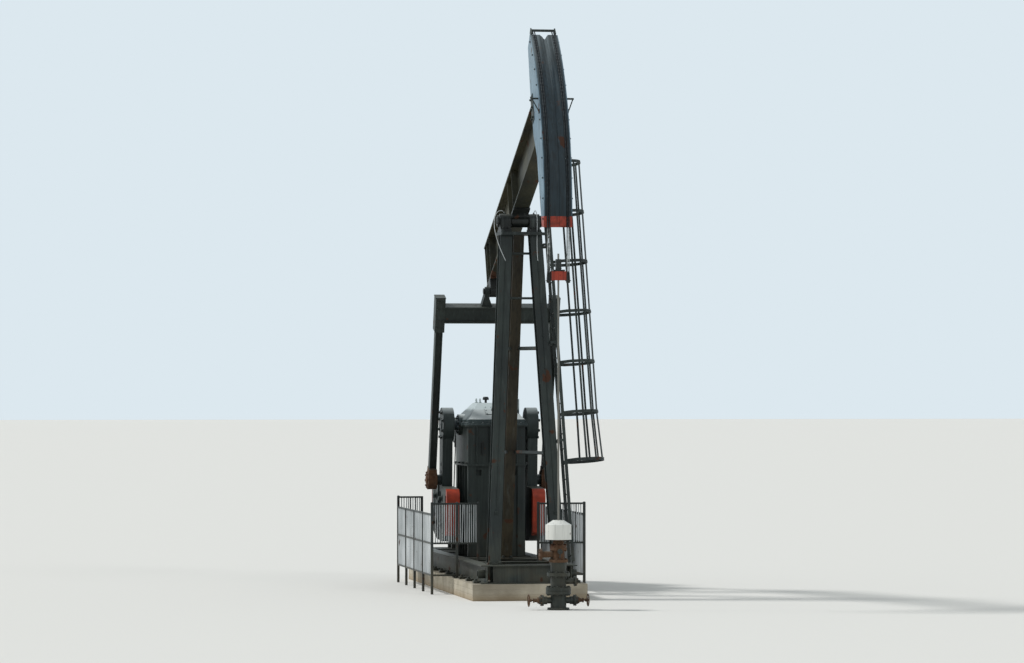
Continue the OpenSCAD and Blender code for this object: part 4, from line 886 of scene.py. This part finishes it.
# Head: a curved face plate with a raised strip on each side of the middle between two flat
# cheeks, welded, its lower end painted orange so that it is seen when it comes down.
def head_paint(name, colour, faded, streaks, chalk_tone):
    """Head enamel: dark and streaked down the face, with an orange band round its lower end."""
    material = enamelled_steel(name, colour, faded, rust=0.25, streaks=streaks, chalk_tone=chalk_tone)
    tree = material.node_tree
    shader = tree.nodes["Principled BSDF"]
    worn = shader.inputs["Base Color"].links[0].from_socket
    place = add_node(tree, "ShaderNodeTexCoord").outputs["Object"]
    # Birds and rain have left pale runs 110 mm wide down the top 1800 mm
    rained = add_node(tree, "ShaderNodeMapping",
        {"Vector": place, "Scale": (1000 / 2600, 1000 / 110, 1000 / 2600)})
    pale_runs = add_node(tree, "ShaderNodeTexNoise", {"Vector": rained, "Scale": 1.0, "Detail": 4.0})
    run_part = add_node(tree, "ShaderNodeMapRange",
        {"Value": pale_runs, "From Min": 0.42, "From Max": 0.68, "To Max": 0.62})
    above = add_node(tree, "ShaderNodeSeparateXYZ", {"Vector": place}).outputs["Z"]
    top_part = add_node(tree, "ShaderNodeMapRange", {"Value": above, "From Min": 9.3, "From Max": 10.9})
    both = add_node(tree, "ShaderNodeMath", {0: run_part, 1: top_part}, operation="MULTIPLY")
    worn = add_node(tree, "ShaderNodeMixRGB", {"Fac": both, "Color1": worn, "Color2": linear("#8f9a9e")})
    # The band is 210 mm wide at a radius of 4550 mm; its edge is found by the angle round the saddle bearing
    centred = add_node(tree, "ShaderNodeMapping", {"Vector": place, "Location": -bearing_at})
    axes = add_node(tree, "ShaderNodeSeparateXYZ", {"Vector": centred})
    angle = add_node(tree, "ShaderNodeMath", {0: axes.outputs["Z"], 1: axes.outputs["X"]},
        operation="ARCTAN2")
    ragged = add_node(tree, "ShaderNodeTexNoise", {"Vector": place, "Scale": 1000 / 50, "Detail": 3.0})
    wavy = add_node(tree, "ShaderNodeMath", {0: ragged, 1: 0.002, 2: angle}, operation="MULTIPLY_ADD")
    edge = beam_tilt - math.radians(27) + 210 / 4550
    below = add_node(tree, "ShaderNodeMapRange", {"Value": wavy, "From Min": edge + 0.0014,
        "From Max": edge + 0.0006})
    # The orange is painted dark as shade, and darkened further with age in blotches 80 mm across
    blotch = add_node(tree, "ShaderNodeTexNoise", {"Vector": place, "Scale": 1000 / 80, "Detail": 5.0})
    aged = add_node(tree, "ShaderNodeMapRange", {"Value": blotch, "From Min": 0.4, "From Max": 0.7,
        "To Max": 0.75})
    orange = add_node(tree, "ShaderNodeMixRGB", {"Fac": aged, "Color1": linear("#93392a"),
        "Color2": linear("#55291f")})
    banded = add_node(tree, "ShaderNodeMixRGB", {"Fac": below, "Color1": worn, "Color2": orange})
    tree.links.new(banded.outputs[0], shader.inputs["Base Color"])
    return material


# Enamel on the rolled face: a blue black that the pale runs break up
finish_solids(head_paint("head_face_enamel", "#172329", "#26343b", 0.8, "#4b575d"), "green_paint",
    "horsehead")
# The cheeks are the face's enamel with painted sunlight and sky reflection on it: a pale blue grey
finish_solids(head_paint("sunlit_cheek_enamel", "#536a79", "#7e97a6", 0.7, "#a9bbc6"), "green_paint",
    "head_side_left", "head_side_right")
cheek_y, face_r = 0.275, 4.5537
cheek_spots = [((face_r - 0.06) * math.cos(a), (face_r - 0.06) * math.sin(a))
    for a in (math.radians(t) for t in range(-25, 27, 5)) if abs(math.degrees(a) - 5) > 2]
rim_bolts = [((x, side * cheek_y, z), (0, side, 0)) for side in (-1, 1) for x, z in cheek_spots]
bolts("cheek_bolts", "beam", 0.024, rim_bolts, on_beam)
doublers = [placed(plate((3.71, side * cheek_y, 0.3), (3.93, side * (cheek_y + 0.014), 0.86), 0.004),
    on_beam) for side in (-1, 1)]
fit_out(doublers, "cheek_doublers", "beam", olive)
bolts("cheek_doubler_bolts", "beam", 0.036, [((x, side * (cheek_y + 0.014), z), (0, side, 0))
    for side in (-1, 1) for x in (3.765, 3.875) for z in (0.37, 0.58, 0.79)], on_beam)

# Bridle: two loops of twisted wire rope over the hanger at the top of the head, down its grooves
# and on to the carrier bar; below the head they hang straight and pay out as the head comes down.
rope_steel = bpy.data.materials.new("greased_wire_rope")
rope_steel.use_nodes = True
tree = rope_steel.node_tree
shader = tree.nodes["Principled BSDF"]
# Galvanised strands under old grease: dark, with a dull gleam on the crowns
shader.inputs["Metallic"].default_value = 0.5
shader.inputs["Roughness"].default_value = 0.55
place = add_node(tree, "ShaderNodeTexCoord").outputs["Object"]
grease = add_node(tree, "ShaderNodeTexNoise", {"Vector": place, "Scale": 1000 / 60, "Detail": 4.0})
grease_part = add_node(tree, "ShaderNodeMapRange", {"Value": grease, "From Min": 0.35, "From Max": 0.65})
greasy = add_node(tree, "ShaderNodeMixRGB", {"Fac": grease_part, "Color1": linear("#2a3033"),
    "Color2": linear("#0f1214")})
# Below the head the ropes turn paler: partly cleaner zinc where they never bend, partly a painted sun glint
height = add_node(tree, "ShaderNodeSeparateXYZ", {"Vector": place}).outputs["Z"]
inward = add_node(tree, "ShaderNodeMapRange", {"Value": height, "From Min": 7.25, "From Max": 7.15})
zinc_and_glint_tone = add_node(tree, "ShaderNodeMixRGB", {"Fac": grease_part, "Color1": linear("#a9adab"),
    "Color2": linear("#50524f")})
rope_tone = add_node(tree, "ShaderNodeMixRGB", {"Fac": inward, "Color1": greasy, "Color2": zinc_and_glint_tone})
tree.links.new(rope_tone.outputs[0], shader.inputs["Base Color"])
finish_solids(rope_steel, "wire_steel", "head_wires", "bridle_wires")
rope_d, rope_lay = 0.025, 0.16


def twisted_rope(length, steps_a_turn=12):
    """Six-strand rope up Z from the origin: a lobed ring drawn up and twisted once every lay."""
    # The valleys between strands lie at 0.82 of the rope's radius
    valley = 0.82
    deselect()
    bpy.ops.mesh.primitive_circle_add(vertices=12, radius=rope_d / 2 * valley)
    rope = bpy.context.object
    settle(rope)
    bpy.ops.object.mode_set(mode="EDIT")
    bpy.ops.mesh.select_mode(type="VERT")
    mesh = bmesh.from_edit_mesh(rope.data)
    for vertex in mesh.verts:
        vertex.select_set(vertex.index % 2 == 0)
    bmesh.update_edit_mesh(rope.data)
    bpy.ops.transform.resize(value=(1 / valley, 1 / valley, 1))
    bpy.ops.object.mode_set(mode="OBJECT")
    twist = rope.modifiers.new("twist", "SCREW")
    twist.angle = 2 * math.pi * length / rope_lay
    twist.screw_offset = length
    twist.steps = twist.render_steps = max(8, int(steps_a_turn * length / rope_lay))
    bpy.ops.object.modifier_apply(modifier=twist.name)
    return rope


# On the head the ropes lie in an arc from the height of the saddle bearing up to the hanger
rope_ys = (-0.206, -0.170, 0.170, 0.206)
arc_r, hanger_turn, stop_short = 4.567, math.radians(28.6), 0.0056
arc_turn = beam_tilt + hanger_turn - stop_short
arc_rope = twisted_rope(arc_r * arc_turn, 8)
placed(arc_rope, Matrix.Rotation(math.pi / 2, 4, "Y") @ Matrix.Translation((0, 0, -arc_r * arc_turn / 2)))
curl = arc_rope.modifiers.new("curl", "SIMPLE_DEFORM")
curl.deform_method = "BEND"
curl.deform_axis = "Z"
curl.angle = arc_turn
take_up(arc_rope)
bpy.ops.object.modifier_apply(modifier=curl.name)
# The arc's ends show on which side its centre came to lie
end_y = max((vertex.co.x, vertex.co.y) for vertex in arc_rope.data.vertices)[1]
centre_side = math.copysign(1, end_y)
placed(arc_rope, Matrix.Translation((0, -centre_side * arc_r, 0)))
lay_up = (Matrix.Rotation(math.pi / 2, 4, "X")
    @ Matrix.Rotation(centre_side * math.pi / 2 + arc_turn / 2, 4, "Z"))
arc_ropes = copies(arc_rope, [Matrix.Translation(bearing_at + Vector((0, y, 0))) @ lay_up for y in rope_ys])
bpy.data.objects.remove(arc_rope)
arcs = fit_out(arc_ropes, "head_ropes", "beam", rope_steel)
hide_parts("head_wires")
carrier_low, carrier_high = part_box("carrier_bar")
straight = twisted_rope(bearing_at.z - carrier_high.z + 0.02)
hanging = copies(straight, [Matrix.Translation((well_x, y, carrier_high.z - 0.02)) for y in rope_ys])
bpy.data.objects.remove(straight)
take_up(hanging[0])
for rope in hanging[1:]:
    rope.select_set(True)
bpy.ops.object.join()
bridle = bpy.context.view_layer.objects.active
bridle.name = bridle.data.name = "bridle_ropes"
bpy.ops.object.shade_smooth_by_angle(angle=math.radians(60))
bridle.data.materials.clear()
bridle.data.materials.append(rope_steel)
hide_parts("bridle_wires")
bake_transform(bridle)
socket_rings = [(0.03, 0), (0.044, 0.01), (0.044, 0.09), (0.036, 0.13), (0.028, 0.2)]
sockets = [turned((well_x, y, carrier_low.z - 0.05), (0, 0, 1), socket_rings, 12) for y in rope_ys]
for y in (-0.188, 0.188):
    sockets.append(plate((well_x - 0.045, y - 0.05, carrier_low.z - 0.014),
        (well_x + 0.045, y + 0.05, carrier_low.z)))
fit_out(sockets, "rope_sockets", "rod", iron)

# Pitmans and equalizer: rolled side arms hung from a welded cross beam by bolted brackets, down
# to cast wrist bearings gone brown with rust.
finish_solids(olive, "green_paint", "equalizer", "pitman_left", "pitman_right")
finish_solids(rust_brown, "rusty_iron", "wrist_bearings")
crank_lean, crank_r, pitman_y = math.radians(3), 1.160, 1.205
wrist_at = crank_centre - Vector((math.sin(crank_lean), 0, math.cos(crank_lean))) * crank_r
pitman_reach = (tail_at - wrist_at).length
pitman_lean = math.atan2(tail_at.x - wrist_at.x, tail_at.z - wrist_at.z)
on_pitman = Matrix.Translation(tail_at) @ Matrix.Rotation(pitman_lean, 4, "Y")
on_crank = Matrix.Translation(crank_centre) @ Matrix.Rotation(crank_lean, 4, "Y")
wrist_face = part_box("wrist_bearings")[1].y
wrist_spots = [spot for side in (-1, 1)
    for spot in bolt_ring((0, side * wrist_face, -pitman_reach), side, 0.15, 8)]
bolts("wrist_bearing_bolts", "pitmans", 0.036, wrist_spots, on_pitman, rust_brown)
wrist_cap = [(0.2, 0), (0.2, 0.02), (0.15, 0.03), (0.05, 0.034)]
fit_out([placed(turned((0, side * wrist_face, -pitman_reach), (0, side, 0), wrist_cap), on_pitman)
    for side in (-1, 1)], "wrist_caps", "pitmans", rust_brown)
bracket_spots = [((face * 0.15, side * pitman_y + dy, z), (face, 0, 0)) for side in (-1, 1)
    for face in (-1, 1) for dy in (-0.06, 0.06) for z in (-0.2, -0.36, -0.6, -0.76)]
bolts("bracket_bolts", "pitmans", 0.036, bracket_spots, on_pitman)
top_plates = [placed(plate((-0.13, side * pitman_y - 0.11, -0.135), (0.13, side * pitman_y + 0.11, -0.11),
    0.004), on_pitman) for side in (-1, 1)]
fit_out(top_plates, "bracket_top_plates", "pitmans", olive)
pin_caps = [placed(turned((0, side * 0.288, 0), (0, side, 0), [(0.13, 0), (0.13, 0.014), (0.1, 0.02)]),
    on_pitman) for side in (-1, 1)]
fit_out(pin_caps, "equalizer_pin_caps", "pitmans", iron)


# Cranks: cast arms keyed to the crankshaft, each with a pair of cast counterweights clamped
# on its sides by long bolts; the outer ends of the weights are painted orange.
def weight_paint():
    """Olive enamel with the outer ends of the weights in orange."""
    material = enamelled_steel("weight_enamel", "#1f2624", "#353c38", rust=0.4)
    tree = material.node_tree
    shader = tree.nodes["Principled BSDF"]
    worn = shader.inputs["Base Color"].links[0].from_socket
    place = add_node(tree, "ShaderNodeTexCoord").outputs["Object"]
    moved = add_node(tree, "ShaderNodeMapping", {"Vector": place, "Location": -crank_centre})
    square = add_node(tree, "ShaderNodeVectorRotate",
        {"Vector": moved, "Axis": (0, 1, 0), "Angle": -crank_lean}, rotation_type="AXIS_ANGLE")
    across = add_node(tree, "ShaderNodeSeparateXYZ", {"Vector": square}).outputs["X"]
    out = add_node(tree, "ShaderNodeMath", {0: across}, operation="ABSOLUTE")
    # The last 160 mm of each weight
    ended = add_node(tree, "ShaderNodeMapRange", {"Value": out, "From Min": 0.938, "From Max": 0.942})
    blotch = add_node(tree, "ShaderNodeTexNoise", {"Vector": place, "Scale": 1000 / 120, "Detail": 5.0})
    aged = add_node(tree, "ShaderNodeMapRange", {"Value": blotch, "From Min": 0.4, "From Max": 0.7,
        "To Max": 0.7})
    orange = add_node(tree, "ShaderNodeMixRGB", {"Fac": aged, "Color1": linear("#a43c26"),
        "Color2": linear("#6e2e1e")})
    ends = add_node(tree, "ShaderNodeMixRGB", {"Fac": ended, "Color1": worn, "Color2": orange})
    tree.links.new(ends.outputs[0], shader.inputs["Base Color"])
    return material


# Enamel on cast iron: dark down the sides, pale on top of the hubs with dust and painted sunlight
crank_enamel = enamelled_steel("crank_enamel", "#1c2423", "#303938", rust=0.4, dust=1.0, top_dust_and_sun_tone="#aab1b0")
finish_solids(crank_enamel, "green_paint", "crank_left", "crank_right")
finish_solids(weight_paint(), "green_paint", "weights_left", "weights_right")
# Turned iron under a film of oil and dust: greyer than the cranks it carries, and near white on faces that
# look up, partly dust and partly painted sunlight
shaft_iron = enamelled_steel("dusty_cast_iron", "#394144", "#58646a", rust=0.2, dust=1.0, top_dust_and_sun_tone="#dde3e2")
finish_solids(shaft_iron, "bearing_iron", "crankshaft")
weight_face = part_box("weights_right")[1].y
weight_spots = [((x, side * weight_face, z), (0, side, 0)) for side in (-1, 1) for x in (-0.4, 0.4)
    for z in (-1.52, -2.08)]
bolts("weight_bolts", "cranks", 0.09, weight_spots, on_crank)
pads = []
for side in (-1, 1):
    for way in (-1, 1):
        inner = (way * 0.62, side * weight_face, -1.42)
        outer = (way * 0.95, side * (weight_face + 0.016), -1.98)
        pads.append(placed(plate(inner, outer, 0.012), on_crank))
fit_out(pads, "weight_pads", "cranks", olive)
hub_spots = []
shaft_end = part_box("crankshaft")[1].y
hub_face = crank_centre.y + 1.01
for side in (-1, 1):
    hub_spots += bolt_ring((0, side * hub_face, 0), side, 0.28, 8)
bolts("crank_hub_bolts", "cranks", 0.05, hub_spots, on_crank, crank_enamel)
keys = [placed(plate((-0.03, side * (hub_face - 0.01), 0.085), (0.03, side * shaft_end, 0.14), 0.003),
    on_crank) for side in (-1, 1)]
centre_rings = [(0.2, 0), (0.19, 0.008), (0.05, 0.008), (0.03, -0.01)]
centres = [placed(turned((0, side * (shaft_end - 0.002), 0), (0, side, 0), centre_rings, 32), on_crank)
    for side in (-1, 1)]
fit_out(keys + centres, "crankshaft_ends", "cranks", iron)

# Rod: a polished rod hung from the carrier bar by a bolted clamp; the bar is orange between
# its slots and black with grease at the ends, where the ropes pull.
finish_solids(iron, "bearing_iron", "rod_clamp")
# Orange enamel under grease: dull red where it is clean, black where it is not
carrier_paint = enamelled_steel("greasy_orange_enamel", "#b0432b", "#94392a", rust=0.5, streaks=0.6, dust=0.2)
tree = carrier_paint.node_tree
shader = tree.nodes["Principled BSDF"]
worn = shader.inputs["Base Color"].links[0].from_socket
place = add_node(tree, "ShaderNodeTexCoord").outputs["Object"]
side_way = add_node(tree, "ShaderNodeSeparateXYZ", {"Vector": place}).outputs["Y"]
sideways = add_node(tree, "ShaderNodeMath", {0: side_way}, operation="ABSOLUTE")
# Black from 140 mm outward
handled = add_node(tree, "ShaderNodeMapRange", {"Value": sideways, "From Min": 0.125, "From Max": 0.15,
    "To Max": 0.92})
blackened = add_node(tree, "ShaderNodeMixRGB", {"Fac": handled, "Color1": worn, "Color2": linear("#1d1c19")})
tree.links.new(blackened.outputs[0], shader.inputs["Base Color"])
finish_solids(carrier_paint, "orange_paint", "carrier_bar")
rod_steel = bpy.data.materials.new("polished_steel")
rod_steel.use_nodes = True
tree = rod_steel.node_tree
shader = tree.nodes["Principled BSDF"]
# Ground and polished along its length, dark where an oil film holds dust
shader.inputs["Metallic"].default_value = 1.0
place = add_node(tree, "ShaderNodeTexCoord").outputs["Object"]
drawn = add_node(tree, "ShaderNodeMapping", {"Vector": place, "Scale": (1000 / 6, 1000 / 6, 1000 / 400)})
film = add_node(tree, "ShaderNodeTexNoise", {"Vector": drawn, "Scale": 1.0, "Detail": 3.0})
film_part = add_node(tree, "ShaderNodeMapRange", {"Value": film, "From Min": 0.35, "From Max": 0.7})
filmed = add_node(tree, "ShaderNodeMixRGB", {"Fac": film_part, "Color1": linear("#8f8d86"),
    "Color2": linear("#4c4840")})
tree.links.new(filmed.outputs[0], shader.inputs["Base Color"])
gloss = add_node(tree, "ShaderNodeMapRange", {"Value": film, "To Min": 0.22, "To Max": 0.45})
tree.links.new(gloss.outputs[0], shader.inputs["Roughness"])
finish_solids(rod_steel, "rod_steel", "polished_rod")
clamp_low, clamp_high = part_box("rod_clamp")
clamp_zs = [clamp_low.z + 0.05 + 0.065 * i for i in range(3)]
bolts("rod_clamp_bolts", "rod", 0.022, [((clamp_high.x, y, z), (1, 0, 0)) for z in clamp_zs
    for y in (-0.034, 0.034)], material=iron)
shims = [plate((well_x - 0.11, y, carrier_high.z), (well_x + 0.11, y + 0.05, carrier_high.z + 0.03), 0.004)
    for y in (-0.11, 0.06)]
fit_out(shims, "carrier_shims", "rod", iron)

for pattern in (bolt, lifting_eye, collar, fin, post_cap):
    bpy.data.objects.remove(pattern)
